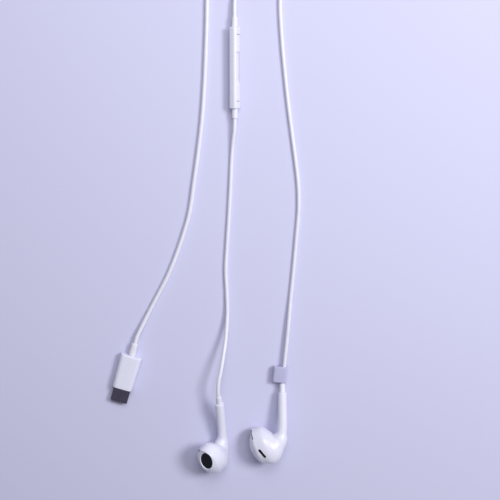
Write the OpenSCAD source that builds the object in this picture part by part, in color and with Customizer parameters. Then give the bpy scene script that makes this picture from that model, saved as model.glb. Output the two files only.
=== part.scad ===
// Wired earphones: two earbuds on stems, a cord each, a remote with one rocking key plate,
// a cord slider, a splitter and a main cord that ends in a reversible data plug.
// They lie on a flat surface at z = 0. +Y runs along the stems towards the cords, +X is the
// slider's side and +Z is up. The origin is under the middle of the two earbuds.
// The right ear's bud is the one on the remote's cord.

/* [Earbud shells] */
// Long way across the head at the seam between shell and cap
head_len = 17.85; // [17.7:0.05:19]
// Short way across the head at the seam
head_w = 12.5; // [12.4:0.1:14]
// From the stem's axis to the middle of the seam
head_reach = 11.55; // [11.2:0.05:12.4]
// Lean of the seam from the stem's axis
seam_tilt = 21.7; // [18:0.1:25]
// From the middle of the seam up to the stem's end
stem_l = 25.9; // [23:0.1:29]
// Stem across its cord end
stem_top_d = 4.2; // [4:0.1:4.6]
// Stem across where it meets the head
stem_low_d = 4.6; // [4.4:0.1:5]
// Height at which the stem becomes straight
neck_h = 10.5; // [9.5:0.1:12]
// Wall of the shells and the cap
shell_wall = 0.8; // [0.7:0.05:0.85]

/* [Earbud front] */
// Depth of the front cap, from the seam to its outlet
cap_depth = 2.4; // [2.2:0.1:3.4]
// Long way across the sound outlet
outlet_len = 8.5; // [7.8:0.1:8.6]
// Short way across the sound outlet
outlet_w = 6.35; // [6:0.05:6.8]
// White lip round the outlet
outlet_lip = 0.55; // [0.45:0.05:0.8]
// Outlet's shift along the seam, towards the stem's end
outlet_rise = 3.7; // [3:0.1:3.7]
// Outlet's shift sideways, towards the ear canal
outlet_side = 1.2; // [0.6:0.1:1.4]
// Turn of the outlet's plane out of the seam's plane, upwards
outlet_tilt = 25.8; // [18:0.1:28]
// And sideways
outlet_turn = 8; // [0:0.5:9]
// Thickness of the outlet's mesh
mesh_t = 0.3; // [0.2:0.05:0.4]
// How far the outlet's mesh lies under its lip
mesh_sunk = 0.2; // [0.1:0.05:0.3]
// How far the mesh of a slot lies under the middle of the slot
slot_sunk = 0.5; // [0.4:0.05:0.6]

/* [Earbud vents] */
// Length of the slot in the back of the head
vent_len = 5; // [4:0.1:6]
// Width of that slot
vent_w = 1.4; // [1:0.05:1.5]
// Length of the slit beside the seam
slit_len = 5.4; // [4.5:0.1:6]
// Width of that slit
slit_w = 0.6; // [0.5:0.05:0.7]

/* [Driver] */
// Depth of the driver's frame
driver_h = 3; // [2.6:0.1:3.3]
// Wall of the frame, its floor too
driver_wall = 0.5; // [0.4:0.05:0.6]
// Height of the magnet
magnet_h = 1.2; // [0.9:0.05:1.4]
// Thickness of the pole plate
pole_t = 0.5; // [0.4:0.05:0.6]
// Thickness of the plate that seals the driver in the shell
baffle_t = 0.6; // [0.5:0.05:0.8]
// Width of the voice coil's winding
winding_t = 0.35; // [0.25:0.05:0.4]
// Thickness of the diaphragm
diaphragm_t = 0.2; // [0.15:0.05:0.25]

/* [Strain reliefs] */
// Earbud relief across
bud_relief_d = 2.8; // [2.5:0.1:3.2]
// Earbud relief's length out of the stem
bud_relief_l = 4; // [3:0.1:6]
// Depth of its root inside the stem
bud_root_l = 3; // [2:0.1:4]
// Remote relief across
remote_relief_d = 2.9; // [2.5:0.1:3.2]
// Remote relief's length
remote_relief_l = 4.4; // [3:0.1:6]
// Splitter relief across
splitter_relief_d = 3; // [2.6:0.1:3.4]
// Splitter relief's length
splitter_relief_l = 4; // [3:0.1:6]
// Plug relief across
plug_relief_d = 3.4; // [3:0.1:4]
// Plug relief's length
plug_relief_l = 6; // [4:0.1:7]

/* [Remote] */
// Remote's length
remote_l = 37; // [35:0.5:42]
// Remote's width across the key face
remote_w = 5.2; // [5:0.1:5.8]
// Remote's thickness
remote_t = 3.9; // [3.9:0.05:4.4]
// Radius of its long edges
remote_r = 1.3; // [1:0.05:1.4]
// Height of the seam above the back
remote_seam = 1.65; // [1.5:0.05:1.8]
// Wall of the case
remote_wall = 0.6; // [0.5:0.05:0.65]
// Thickness of the case's two ends
remote_end = 1; // [0.8:0.05:1.2]
// Key plate's length
key_l = 30; // [28:0.5:32]
// Key plate's width
key_w = 3.3; // [3:0.05:3.4]
// Depth of the dip in the middle of the key plate
key_dip = 0.6; // [0.4:0.05:0.7]
// Travel of the key plate when it is pressed
key_travel = 0.2; // [0.1:0.05:0.25]
// Circuit board's thickness
board_t = 0.6; // [0.5:0.05:0.7]
// Dome switches across
dome_d = 2.6; // [2:0.1:3]
// From the middle dome to the outer ones
dome_pitch = 10; // [8.5:0.1:10.5]

/* [Slider] */
// Slider across the two cords
slider_w = 6.7; // [6.4:0.1:7.4]
// Slider's length along the cord
slider_l = 7.8; // [6.5:0.1:9]
// Slider's thickness
slider_t = 3.4; // [3.3:0.05:3.6]
// Radius of its long edges
slider_r = 1.2; // [0.8:0.05:1.5]
// From the slider's middle to the cord it runs on
slider_bore_x = 1.7; // [1.6:0.05:1.8]
// Space round the cord in its bore
slider_play = 0.3; // [0.2:0.05:0.35]
// Mouth of the open channel for the other cord
slider_mouth = 1.4; // [1.2:0.05:1.6]

/* [Splitter] */
// Splitter's length
splitter_l = 13; // [11:0.5:15]
// Splitter's width across the two earbud cords
splitter_w = 5.6; // [5.2:0.1:6.4]
// Splitter's thickness
splitter_t = 3.6; // [3.4:0.1:3.6]
// Radius of its long edges
splitter_r = 1.5; // [1:0.05:1.6]
// Wall of the splitter
splitter_wall = 0.6; // [0.5:0.05:0.7]

/* [Plug] */
// Plug case's width at the cord end
case_rear_w = 10.4; // [10:0.1:11.5]
// Plug case's width at the metal end
case_front_w = 9.6; // [9.5:0.1:10.4]
// Plug case's length
case_l = 17; // [15:0.5:20]
// Plug case's thickness
case_t = 4.9; // [4.7:0.1:5.4]
// Radius of the case's long edges
case_r = 2; // [1.5:0.1:2.3]
// Wall of the case at its sides
case_wall = 0.8; // [0.7:0.05:0.85]
// Thickness of the case's two ends
case_end = 1.4; // [1.2:0.1:1.6]
// Metal shell's width
shell_w = 8.25; // [8.2:0.05:8.3]
// Metal shell's thickness
shell_t = 2.4; // [2.35:0.05:2.45]
// Metal shell's length out of the case
shell_l = 6.8; // [6.2:0.1:6.8]
// Sheet of the metal shell
shell_sheet = 0.3; // [0.25:0.05:0.35]
// Width of the slot between the contacts
slot_w = 6.7; // [6.6:0.05:6.8]
// Height of that slot
slot_t = 0.95; // [0.85:0.05:1]
// Contacts in a row
contact_count = 12; // [8:1:12]
// From contact to contact
contact_pitch = 0.5; // [0.4:0.05:0.5]

/* [Cords] */
// Main cord across
main_d = 2; // [1.8:0.05:2.05]
// Earbud cords across
bud_cord_d = 1.8; // [1.6:0.05:1.9]
// Turns of the main cord's coil
coil_turns = 8; // [6:2:8]
// From turn to turn of the coil, and from layer to layer
coil_pitch = 2.45; // [2.45:0.05:2.6]
// Radius of the coil's outermost turn
coil_r = 15.5; // [15:0.5:17]

/* [Placing] */
// Right earbud's lean across the surface
right_lean = -4.4; // [-8:0.1:-2]
// Slope of the right earbud's stem down to its cord
right_pitch = -15; // [-17:0.5:-11]
// Right earbud's roll, front up
right_roll = 53.4; // [47:0.1:59]
// Left earbud's lean across the surface
left_lean = -0.1; // [-3:0.1:3]
// Slope of the left earbud's stem down to its cord
left_pitch = 12.6; // [10:0.1:14]
// Left earbud's roll, front down
left_roll = -13; // [-20:0.5:-8]
// Remote's roll, key face up to the slider's side
remote_roll = 62; // [50:1:75]
// Plug's lean across the surface
plug_lean = 16.5; // [10:0.1:20]

/* [Hidden] */
$fn = 48;

white = [0.93, 0.93, 0.95];
soft_white = [0.9, 0.9, 0.93];
mesh_black = [0.05, 0.05, 0.06];
steel = [0.6, 0.6, 0.62];
dark_steel = [0.3, 0.3, 0.32];
copper = [0.78, 0.45, 0.25];
gold = [0.85, 0.68, 0.3];
board_green = [0.1, 0.35, 0.2];
clear_film = [0.75, 0.78, 0.8];
black_plastic = [0.1, 0.1, 0.11];

// Where each cord leaves its piece, hand placed
right_bud_at = [-10.99, 17.73, 9.48];
left_bud_at = [19.64, 21.8, 2.54];
remote_at = [-3, 172];
splitter_at = [1, 300];
plug_at = [-51.2, 41.7];
coil_at = [-31, 265];

fit_gap = 0.05;          // between a piece and the seat it is pressed or glued into
inner_gap = 0.25;        // between an inner piece and the wall round it
ring_sides = 28;         // points round each section of a shell
loft_steps = 3;          // sections from one row of the shell to the next
cap_steps = 7;           // sections from the seam to the outlet
slack = 0.01;            // how far a cut runs past what it cuts

// Sections of the rear shell from the seam to the stem's end:
// [distance from the stem's axis, height, lean from upright, half length, half width]
shell_rows = [
    [head_reach, 0, seam_tilt, head_len / 2, head_w / 2],
    [head_reach * 0.65, 0.4, seam_tilt - 2.5, head_len * 0.525, head_w * 0.519],
    [head_reach * 0.38, 0.7, seam_tilt + 0.6, head_len * 0.426, head_w * 0.443],
    [head_reach * 0.18, 2.1, seam_tilt + 14, head_len * 0.259, head_w * 0.31],
    [head_reach * 0.09, 4.4, 64, head_len * 0.203, head_w * 0.247],
    [head_reach * 0.03, 6.6, 80, stem_low_d * 0.55, stem_low_d * 0.55],
    [0, neck_h, 90, stem_low_d / 2, stem_low_d / 2],
    [0, stem_l, 90, stem_top_d / 2, stem_top_d / 2]
];
loft_rings = (len(shell_rows) - 1) * loft_steps;

side_dir = [0, 1, 0];
seam_mid = [head_reach, 0, 0];
seam_dir = [sin(seam_tilt), 0, cos(seam_tilt)];
front_dir = [cos(seam_tilt), 0, -sin(seam_tilt)];
outlet_lean = seam_tilt - outlet_tilt;
outlet_dir = [sin(outlet_lean), 0, cos(outlet_lean)];
outlet_ahead = [cos(outlet_lean), 0, -sin(outlet_lean)];
outlet_out = outlet_ahead * cos(outlet_turn) + side_dir * sin(outlet_turn);
outlet_across = side_dir * cos(outlet_turn) - outlet_ahead * sin(outlet_turn);

driver_room = 0.3;       // between the driver and the shell's wall
driver_d = head_w - 2 * (shell_wall + driver_room);
driver_back = -baffle_t - driver_h;
film_seat = -baffle_t - 0.15 - diaphragm_t;
magnet_seat = driver_back + driver_wall;
magnet_room = 0.3;       // between the magnet and the voice coil's winding
winding_room = 0.5;      // and between the winding and the frame
winding_r = driver_d / 2 - 2 * driver_wall - winding_room - winding_t;
magnet_d = 2 * (winding_r - magnet_room);
root_d = stem_top_d - 2 * shell_wall - 2 * fit_gap;
anchor_l = 2.4;
wire_d = 0.5;

remote_in_r = 0.3;       // radius of the hollow's long edges
remote_mid_z = (remote_w / 2 - remote_r) * sin(remote_roll)
    + (remote_t / 2 - remote_r) * cos(remote_roll) + remote_r;
key_skin_z = remote_t - remote_wall;
key_flange_z = key_skin_z - 0.3;
key_bottom_z = key_flange_z - 0.5;
key_flange = 0.22;
rock_room = 0.25;        // between the key plate and its spring plate, for the rocking
spring_top_z = key_bottom_z - rock_room;
spring_t = 0.25;
board_top_z = remote_wall + board_t;
dome_h = 0.3;
dome_gap = key_travel + 0.1;
dip_up = 6.7;            // the dip's end towards the splitter, from the middle
dip_down = 5.5;          // and towards the earbud
dip_up_ramp = 0.9;
dip_down_ramp = 2.7;
neck_d = 1.9;            // waist of a relief where it passes a wall
relief_flange_l = 0.7;

slider_gap = 0.8;        // between the earbud's relief and the slider at rest
slider_line_end = [22.7, 54, 1.8];
splitter_z = splitter_t / 2;
splitter_step = 1.3;     // from the splitter's middle to each earbud cord

case_in_t = case_t - 2 * case_wall;
case_in_r = 0.8;
can_sheet = 0.2;
shell_in_l = case_end + 2;
plug_neck_d = neck_d + 0.5;
plug_flange_l = 1;
can_behind = 2.7;        // from the shield can's end to the case's rear wall
board_behind = 3.7;      // and from the board's end

// Routes of the free cords, point by point along the centre
left_route = [
    left_bud_at, slider_line_end, [23.4, 63, 1.1], [24.5, 75, 0.9], [25.9, 92, 0.9],
    [27, 108, 0.9], [26.7, 118, 0.9], [25.4, 129, 0.9], [23.6, 142, 0.9], [21.7, 156, 0.9],
    [20, 171, 0.9], [18.5, 187, 0.9], [17.7, 203, 0.9], [18.8, 218, 0.9], [21.6, 231, 0.9],
    [24.8, 245, 0.9], [26.4, 259, 0.9], [26.6, 273, 0.9], [26.6, 287, 1], [25.7, 293.3, 1.3],
    [22.7, 298.1, 1.5], [18.3, 300.8, 1.7], [16, 301.3, 1.8], [14, 301.3, 1.8]
];
right_lower_route = [
    right_bud_at, [-11.2, 20.6, 10.1], [-10.9, 25.1, 10.3], [-9.8, 30.5, 9.4], [-8.7, 36.9, 7.5],
    [-7.7, 43.6, 5.1], [-7.1, 50.4, 3], [-6.8, 57.2, 1.6], [-7, 66, 1], [-7.5, 77, 0.9],
    [-6.8, 90, 0.9], [-5.8, 105, 0.9], [-5, 120, 0.9], [-4.5, 131, 0.9], [-3.9, 138, 1.5],
    [-3.1, 145, 2.6], [-3, 149.1, 2.75]
];
right_upper_route = [
    [-3, 194.9, 2.75], [-3, 198.5, 2.6], [-2.9, 204, 1.8], [-2.5, 210, 1], [-1.2, 216, 0.9],
    [2, 222.5, 0.9], [7, 229, 0.9], [13, 235.6, 0.9], [17.8, 242.5, 0.9], [21, 250, 0.9],
    [22.7, 260, 0.9], [23, 275, 0.9], [23, 289, 1.1], [21.9, 293.9, 1.4], [19.1, 297.3, 1.6],
    [16.3, 298.6, 1.8], [14, 298.7, 1.8]
];
run_route = [
    [-15.5, 263, 3.45], [-15.5, 256, 3.3], [-15.5, 246, 2.2], [-15.5, 236, 1.1], [-15.4, 224, 1],
    [-15.4, 209, 1], [-15.7, 193, 1], [-16.3, 178, 1], [-17.1, 163, 1], [-18.3, 148, 1],
    [-20.2, 133, 1], [-22.2, 119.5, 1], [-24.7, 104, 1], [-27.5, 94.5, 1], [-31, 84.5, 1],
    [-35.4, 74, 1], [-40.1, 65, 1], [-44.6, 56.4, 1.2], [-48, 49.6, 1.8], [-50.2, 45, 2.35],
    [-51.2, 41.7, 2.45]
];
lead_route = [
    [-3, 300, 1.8], [-6, 299.9, 1.7], [-9.6, 298.4, 1.3], [-12.9, 295.4, 1], [-14.9, 291.5, 1],
    [-15.5, 287, 1], [-15.5, 277, 1], [-15.5, 267, 1]
];

// ---- Shared functions ----

function unit(v) = v / norm(v);

function mix(a, b, t) = a + (b - a) * t;

// A smooth curve through rows, s counts rows from the first
function curve_at(rows, s) =
    let (last = len(rows) - 1, i = min(floor(s), last - 1), t = s - i)
    let (a = rows[max(i - 1, 0)], b = rows[i], c = rows[i + 1], d = rows[min(i + 2, last)])
    (2 * b + (c - a) * t + (2 * a - 5 * b + 4 * c - d) * t * t
        + (3 * b - a - 3 * c + d) * t * t * t) / 2;

// A point at angle a of an oval section
function oval_point(mid, long, side, half_l, half_w, a) =
    mid + long * half_l * cos(a) + side * half_w * sin(a);

// A point of the rear shell, its wall taken in by inset
function shell_point(s, a, inset) =
    let (r = curve_at(shell_rows, s))
    oval_point([r[0], 0, r[1]], [sin(r[2]), 0, cos(r[2])], side_dir, r[3] - inset, r[4] - inset, a);

// A point of the front cap, s from 0 at the seam to 1 at the outlet
function cap_point(s, a, inset) =
    let (k = sin(90 * s), g = 1 - cos(90 * s), out = unit(mix(front_dir, outlet_out, g)))
    let (mid = seam_mid + (seam_dir * outlet_rise + side_dir * outlet_side) * g
        + front_dir * cap_depth * k - out * inset * k)
    let (edge = inset > 0 ? fit_gap : outlet_lip)
    oval_point(mid, unit(mix(seam_dir, outlet_dir, g)), unit(mix(side_dir, outlet_across, g)),
        mix(head_len / 2 - inset, outlet_len / 2 + edge, g),
        mix(head_w / 2 - inset, outlet_w / 2 + edge, g), a);

outlet_mid = seam_mid + seam_dir * outlet_rise + side_dir * outlet_side + front_dir * cap_depth;

// Two rings of n points joined by triangles
function band(i, j, n) = [
    for (k = [0 : n - 1])
        let (a = i * n + k, b = i * n + (k + 1) % n, c = j * n + (k + 1) % n, d = j * n + k)
        each [[a, d, c], [a, c, b]]
];

function flat_ends(rings, n) = [
    for (k = [1 : n - 2]) each [
        [0, k, k + 1],
        [(rings - 1) * n, (rings - 1) * n + k + 1, (rings - 1) * n + k]
    ]
];

// The direction of a route at point i
function heading(route, i) =
    unit(route[min(i + 1, len(route) - 1)] - route[max(i - 1, 0)]);

// One section of a cord, square to its route, with a point towards and one away from above
function cord_ring(route, i, r, sides, above) =
    let (way = heading(route, i), across = unit(cross(way, above)), up = cross(across, way))
    [for (k = [0 : sides - 1]) route[i] + r * (up * cos(360 * k / sides) + across * sin(360 * k / sides))];

function least(v) = min(v);

// The coil spirals in on the surface and out on top of itself
half_turns = coil_turns / 2;
coil_in_r = coil_r - coil_pitch * half_turns;
climb = 0.25;            // in turns, to each side of where the spiral reverses
turn_rings = 24;

function coil_z(t) =
    main_d / 2 + coil_pitch * (t < -climb ? 0 : t > climb ? 1 : (1 + sin(90 * t / climb)) / 2);

function coil_point(t) =
    let (r = coil_in_r + coil_pitch * abs(t), a = -360 * (t + half_turns))
    [coil_at.x + r * cos(a), coil_at.y + r * sin(a), coil_z(t)];

coil_last = coil_turns * turn_rings;
coil_route = concat(
    [coil_point(-half_turns) + [0, main_d, 0]],
    [for (i = [0 : coil_last]) coil_point(i / turn_rings - half_turns)],
    [coil_point(half_turns) - [0, main_d, 0]]
);
coil_gap = least([
    for (i = [0 : len(coil_route) - 1], j = [i + 1 : len(coil_route) - 1])
        if (j - i > turn_rings / 2) norm(coil_route[i] - coil_route[j])
]) - main_d;
echo(coil_least_gap = coil_gap);

// ---- Shared modules ----

// A closed tube of sections that ends where it starts
module ring_loop(rings) {
    n = len(rings[0]);
    m = len(rings);
    polyhedron(
        points = [for (r = rings) each r],
        faces = [for (i = [0 : m - 1]) each band(i, (i + 1) % m, n)],
        convexity = 6
    );
}

module swept_tube(route, d, sides, above = [0, 0, 1]) {
    m = len(route);
    polyhedron(
        points = [for (i = [0 : m - 1]) each cord_ring(route, i, d / 2, sides, above)],
        faces = concat([for (i = [0 : m - 2]) each band(i, i + 1, sides)], flat_ends(m, sides)),
        convexity = 8
    );
}

// Stands children on a surface at p, x along it and z out of it
module set_on(p, along, out) {
    across = cross(out, along);
    multmatrix([
        [along.x, across.x, out.x, p.x],
        [along.y, across.y, out.y, p.y],
        [along.z, across.z, out.z, p.z],
        [0, 0, 0, 1]
    ])
        children();
}

module stadium(l, w) {
    square([l - w, w], center = true);
    for (s = [-1, 1]) translate([s * (l - w) / 2, 0]) circle(d = w);
}

module rounded_rect(w, h, r) {
    square([w - 2 * r, h], center = true);
    square([w, h - 2 * r], center = true);
    for (x = [-1, 1], y = [-1, 1]) translate([x * (w / 2 - r), y * (h / 2 - r)]) circle(r);
}

// A section in x and z drawn out along y, from y0 to y1
module along_y(y0, y1) {
    translate([0, y1, 0]) rotate([90, 0, 0]) linear_extrude(y1 - y0) children();
}

// A relief that points up: collar, waist through a wall, and a flange behind the wall
module walled_relief(collar_d, collar_l, wall, waist_d, flange_d, flange_l) {
    cylinder(d = collar_d, h = collar_l);
    translate([0, 0, -wall - slack]) cylinder(d = waist_d, h = wall + 2 * slack);
    translate([0, 0, -wall - flange_l]) cylinder(d = flange_d, h = flange_l);
}

// ---- Earbuds, each in its own frame: x to the front, z up the stem ----

module place_bud(at, lean, pitch, roll) {
    translate(at)
        rotate([-pitch, 0, -lean])
        rotate([0, 180, 0])
        rotate([-90, 0, 0])
        rotate([0, 0, roll])
        translate([0, 0, -stem_l - bud_relief_l])
        children();
}

module right_bud() {
    place_bud(right_bud_at, right_lean, right_pitch, right_roll) children();
}

module left_bud() {
    place_bud(left_bud_at, left_lean, left_pitch, left_roll) mirror([0, 1, 0]) children();
}

// Driver pieces are built on the seam's plane, z out of it to the front
module on_seam() {
    set_on(seam_mid, seam_dir, front_dir) children();
}

vent_row = 0.42;         // rows back from the seam
vent_angle = -112;       // round the seam from its upper end
vent_turn = -18;         // out of the seam's own direction
slit_row = 0.2;          // from the seam at 0 to the outlet at 1
slit_angle = -44;

module at_vent() {
    p = shell_point(vent_row, vent_angle, 0);
    along = unit(shell_point(vent_row, vent_angle + 2, 0) - shell_point(vent_row, vent_angle - 2, 0));
    back = shell_point(vent_row + 0.05, vent_angle, 0) - shell_point(vent_row - 0.05, vent_angle, 0);
    out = unit(cross(along, unit(back)));
    set_on(p, along, out) rotate([0, 0, vent_turn]) children();
}

module at_slit() {
    p = cap_point(slit_row, slit_angle, 0);
    along = unit(cap_point(slit_row, slit_angle + 2, 0) - cap_point(slit_row, slit_angle - 2, 0));
    ahead = cap_point(slit_row + 0.02, slit_angle, 0) - cap_point(slit_row - 0.02, slit_angle, 0);
    out = unit(cross(unit(ahead), along));
    set_on(p, along, out) children();
}

module vent_shape(inset) {
    stadium(vent_len - 2 * inset, vent_w - 2 * inset);
}

module slit_shape(inset) {
    stadium(slit_len - 2 * inset, slit_w - 2 * inset);
}

module rear_shell() {
    outer = [for (i = [0 : loft_rings])
        [for (k = [0 : ring_sides - 1]) shell_point(i / loft_steps, 360 * k / ring_sides, 0)]];
    inner = [for (i = [loft_rings : -1 : 0])
        [for (k = [0 : ring_sides - 1]) shell_point(i / loft_steps, 360 * k / ring_sides, shell_wall)]];
    color(white) difference() {
        ring_loop(concat(outer, inner));
        at_vent() translate([0, 0, -shell_wall * 2]) linear_extrude(shell_wall * 3) vent_shape(0);
    }
}

module front_cap() {
    outer = [for (i = [0 : cap_steps])
        [for (k = [0 : ring_sides - 1]) cap_point(i / cap_steps, -360 * k / ring_sides, 0)]];
    mouth = [for (k = [0 : ring_sides - 1]) oval_point(outlet_mid, outlet_dir, outlet_across,
        outlet_len / 2 + fit_gap, outlet_w / 2 + fit_gap, -360 * k / ring_sides)];
    inner = [for (i = [cap_steps : -1 : 0])
        [for (k = [0 : ring_sides - 1]) cap_point(i / cap_steps, -360 * k / ring_sides, shell_wall)]];
    color(white) difference() {
        ring_loop(concat(outer, [mouth], inner));
        at_slit() translate([0, 0, -shell_wall * 2]) linear_extrude(shell_wall * 3) slit_shape(0);
        // keeps the low side of the outlet off the baffle
        on_seam() translate([0, 0, -shell_wall * 2 - fit_gap / 2])
            linear_extrude(shell_wall * 2) square([head_len, head_w], center = true);
    }
}

module outlet_mesh() {
    color(mesh_black) set_on(outlet_mid, outlet_dir, outlet_out)
        translate([0, 0, -mesh_sunk - mesh_t]) linear_extrude(mesh_t)
        polygon([for (k = [0 : ring_sides - 1])
            [outlet_len / 2 * cos(360 * k / ring_sides), outlet_w / 2 * sin(360 * k / ring_sides)]]);
}

module slit_mesh() {
    color(mesh_black) at_slit() translate([0, 0, -slot_sunk - mesh_t])
        linear_extrude(mesh_t) slit_shape(fit_gap);
}

module vent_mesh() {
    color(mesh_black) at_vent() translate([0, 0, -slot_sunk - mesh_t])
        linear_extrude(mesh_t) vent_shape(fit_gap);
}

// Seals the round driver in the oval mouth of the shell
module baffle() {
    half_l = head_len / 2 - shell_wall - inner_gap;
    half_w = head_w / 2 - shell_wall - inner_gap;
    color(black_plastic) on_seam() translate([0, 0, -baffle_t])
        linear_extrude(baffle_t - fit_gap) difference() {
            polygon([for (k = [0 : ring_sides - 1])
                [half_l * cos(360 * k / ring_sides), half_w * sin(360 * k / ring_sides)]]);
            circle(d = driver_d - 4 * driver_wall);
        }
}

module driver_frame() {
    r = driver_d / 2;
    hole_r = r * 0.22;
    color(steel) on_seam() rotate_extrude() polygon([
        [hole_r, driver_back], [r, driver_back], [r, -baffle_t],
        [r - driver_wall, -baffle_t], [r - driver_wall, film_seat],
        [r - 2 * driver_wall, film_seat], [r - 2 * driver_wall, magnet_seat],
        [hole_r, magnet_seat]
    ]);
}

module magnet() {
    color(dark_steel) on_seam() translate([0, 0, magnet_seat]) cylinder(d = magnet_d, h = magnet_h);
}

module pole_plate() {
    color(steel) on_seam() translate([0, 0, magnet_seat + magnet_h]) cylinder(d = magnet_d, h = pole_t);
}

module voice_coil() {
    low = magnet_seat + magnet_h / 2;
    color(copper) on_seam() translate([0, 0, low]) linear_extrude(film_seat - low) difference() {
        circle(winding_r + winding_t);
        circle(winding_r);
    }
}

module diaphragm() {
    r = driver_d / 2 - driver_wall - fit_gap;
    top = film_seat + diaphragm_t;
    dome = 0.4;
    color(clear_film) on_seam() rotate_extrude() polygon([
        [winding_r, film_seat], [r, film_seat], [r, top], [winding_r, top],
        [winding_r / 2, top + dome * 0.75], [0, top + dome],
        [0, film_seat + dome], [winding_r / 2, film_seat + dome * 0.75]
    ]);
}

// Two enamelled wires from the back of the driver to the cord's anchor
module driver_wires() {
    from = seam_mid + front_dir * driver_back;
    low = stem_l - bud_root_l - anchor_l;
    color(copper) for (s = [-1, 1]) swept_tube([
        from + side_dir * s,
        from - front_dir * 0.8 + side_dir * s * 0.9,
        for (i = [2 : 5]) let (r = shell_rows[i]) [r[0], s * 0.45, r[1]],
        [0, s * 0.4, neck_h],
        [0, s * 0.4, low]
    ], wire_d, 6, side_dir);
}

module cord_anchor() {
    color(steel) translate([0, 0, stem_l - bud_root_l - anchor_l])
        cylinder(d = root_d - 0.2, h = anchor_l);
}

module bud_relief() {
    color(soft_white) {
        translate([0, 0, stem_l]) cylinder(d = bud_relief_d, h = bud_relief_l);
        translate([0, 0, stem_l - bud_root_l]) cylinder(d = root_d, h = bud_root_l + slack);
    }
}

// ---- Remote, in its own frame: y along it, z out of the key face, back at z = 0 ----

module remote() {
    translate([remote_at.x, remote_at.y, remote_mid_z])
        rotate([0, remote_roll, 0])
        translate([0, 0, -remote_t / 2])
        children();
}

module remote_section(inset) {
    r = inset > 0 ? remote_in_r : remote_r;
    translate([0, remote_t / 2]) rounded_rect(remote_w - 2 * inset, remote_t - 2 * inset, r);
}

module remote_half(low, high) {
    difference() {
        along_y(-remote_l / 2, remote_l / 2) intersection() {
            remote_section(0);
            translate([-remote_w, low]) square([2 * remote_w, high - low]);
        }
        along_y(-remote_l / 2 + remote_end, remote_l / 2 - remote_end) remote_section(remote_wall);
        translate([0, 0, remote_t / 2]) rotate([90, 0, 0])
            cylinder(d = neck_d + 2 * fit_gap, h = remote_l + 2, center = true);
    }
}

mic_y = 14;
mic_size = [1.8, 2.6, 0.7];

module remote_back_case() {
    color(white) remote() difference() {
        remote_half(0, remote_seam);
        translate([0, mic_y, -1]) cylinder(d = 0.8, h = remote_wall + 2);
    }
}

module remote_front_case() {
    play = 0.2;
    color(white) remote() difference() {
        remote_half(remote_seam, remote_t);
        translate([-key_w / 2 - play, -key_l / 2 - play, key_flange_z])
            cube([key_w + 2 * play, key_l + 2 * play, remote_t]);
    }
}

module remote_key_plate() {
    top = remote_t;
    low = remote_t - key_dip;
    flange_w = key_w + 2 * key_flange;
    flange_l = key_l + 2 * key_flange;
    color(white) remote() {
        translate([-key_w / 2, 0, 0]) rotate([90, 0, 90]) linear_extrude(key_w) polygon([
            [-key_l / 2, key_bottom_z], [key_l / 2, key_bottom_z], [key_l / 2, top],
            [dip_up + dip_up_ramp, top], [dip_up, low],
            [-dip_down, low], [-dip_down - dip_down_ramp, top], [-key_l / 2, top]
        ]);
        translate([-flange_w / 2, -flange_l / 2, key_bottom_z])
            cube([flange_w, flange_l, key_flange_z - key_bottom_z]);
    }
}

// A thin spring plate: a ridge that the key plate rocks on, and a nub over each dome
module remote_key_spring() {
    half_l = dome_pitch + 1.5;
    nub_d = 1.2;
    nub_low = board_top_z + dome_h + dome_gap;
    color(steel) remote() {
        translate([-key_w / 2, -half_l, spring_top_z - spring_t]) cube([key_w, 2 * half_l, spring_t]);
        translate([0, 0, key_bottom_z - rock_room]) rotate([0, 90, 0])
            cylinder(r = rock_room - fit_gap, h = key_w, center = true);
        for (i = [-1 : 1]) translate([0, i * dome_pitch, nub_low])
            cylinder(d = nub_d, h = spring_top_z - nub_low - slack);
    }
}

module remote_board() {
    half_l = remote_l / 2 - remote_end - relief_flange_l - 0.3;
    half_w = remote_w / 2 - remote_wall - remote_in_r;
    color(board_green) remote() translate([-half_w, -half_l, remote_wall])
        cube([2 * half_w, 2 * half_l, board_t]);
}

module remote_dome_switches() {
    color(steel) remote() for (i = [-1 : 1]) translate([0, i * dome_pitch, board_top_z])
        cylinder(d1 = dome_d, d2 = dome_d * 0.6, h = dome_h);
}

module remote_microphone() {
    color(gold) remote() translate([-mic_size.x / 2, mic_y - mic_size.y / 2, board_top_z]) cube(mic_size);
}

module remote_relief(end) {
    color(soft_white) remote() translate([0, end * remote_l / 2, remote_t / 2])
        rotate([-90 * end, 0, 0])
        walled_relief(remote_relief_d, remote_relief_l, remote_end, neck_d, neck_d + 0.6, relief_flange_l);
}

module remote_upper_relief() {
    remote_relief(1);
}

module remote_lower_relief() {
    remote_relief(-1);
}

// ---- Slider, in its own frame: y along the cord, bore on the axis ----

slider_way = unit(slider_line_end - left_bud_at);

module cord_slider() {
    channel_d = bud_cord_d + 0.2;
    channel_x = -slider_w / 2 + 1.75;
    color(white) set_on(left_bud_at + slider_way * slider_gap,
        unit(cross(slider_way, [0, 0, 1])), unit(cross(unit(cross(slider_way, [0, 0, 1])), slider_way)))
        translate([-slider_bore_x, 0, 0]) along_y(0, slider_l) difference() {
            rounded_rect(slider_w, slider_t, slider_r);
            translate([slider_bore_x, 0]) circle(d = bud_cord_d + 2 * slider_play);
            translate([channel_x, 0]) circle(d = channel_d);
            translate([channel_x - slider_w, -slider_mouth / 2]) square([slider_w, slider_mouth]);
        }
}

// ---- Splitter: x from the main cord's end to the earbud cords' end ----

module splitter() {
    translate([splitter_at.x, splitter_at.y, splitter_z]) children();
}

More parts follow.
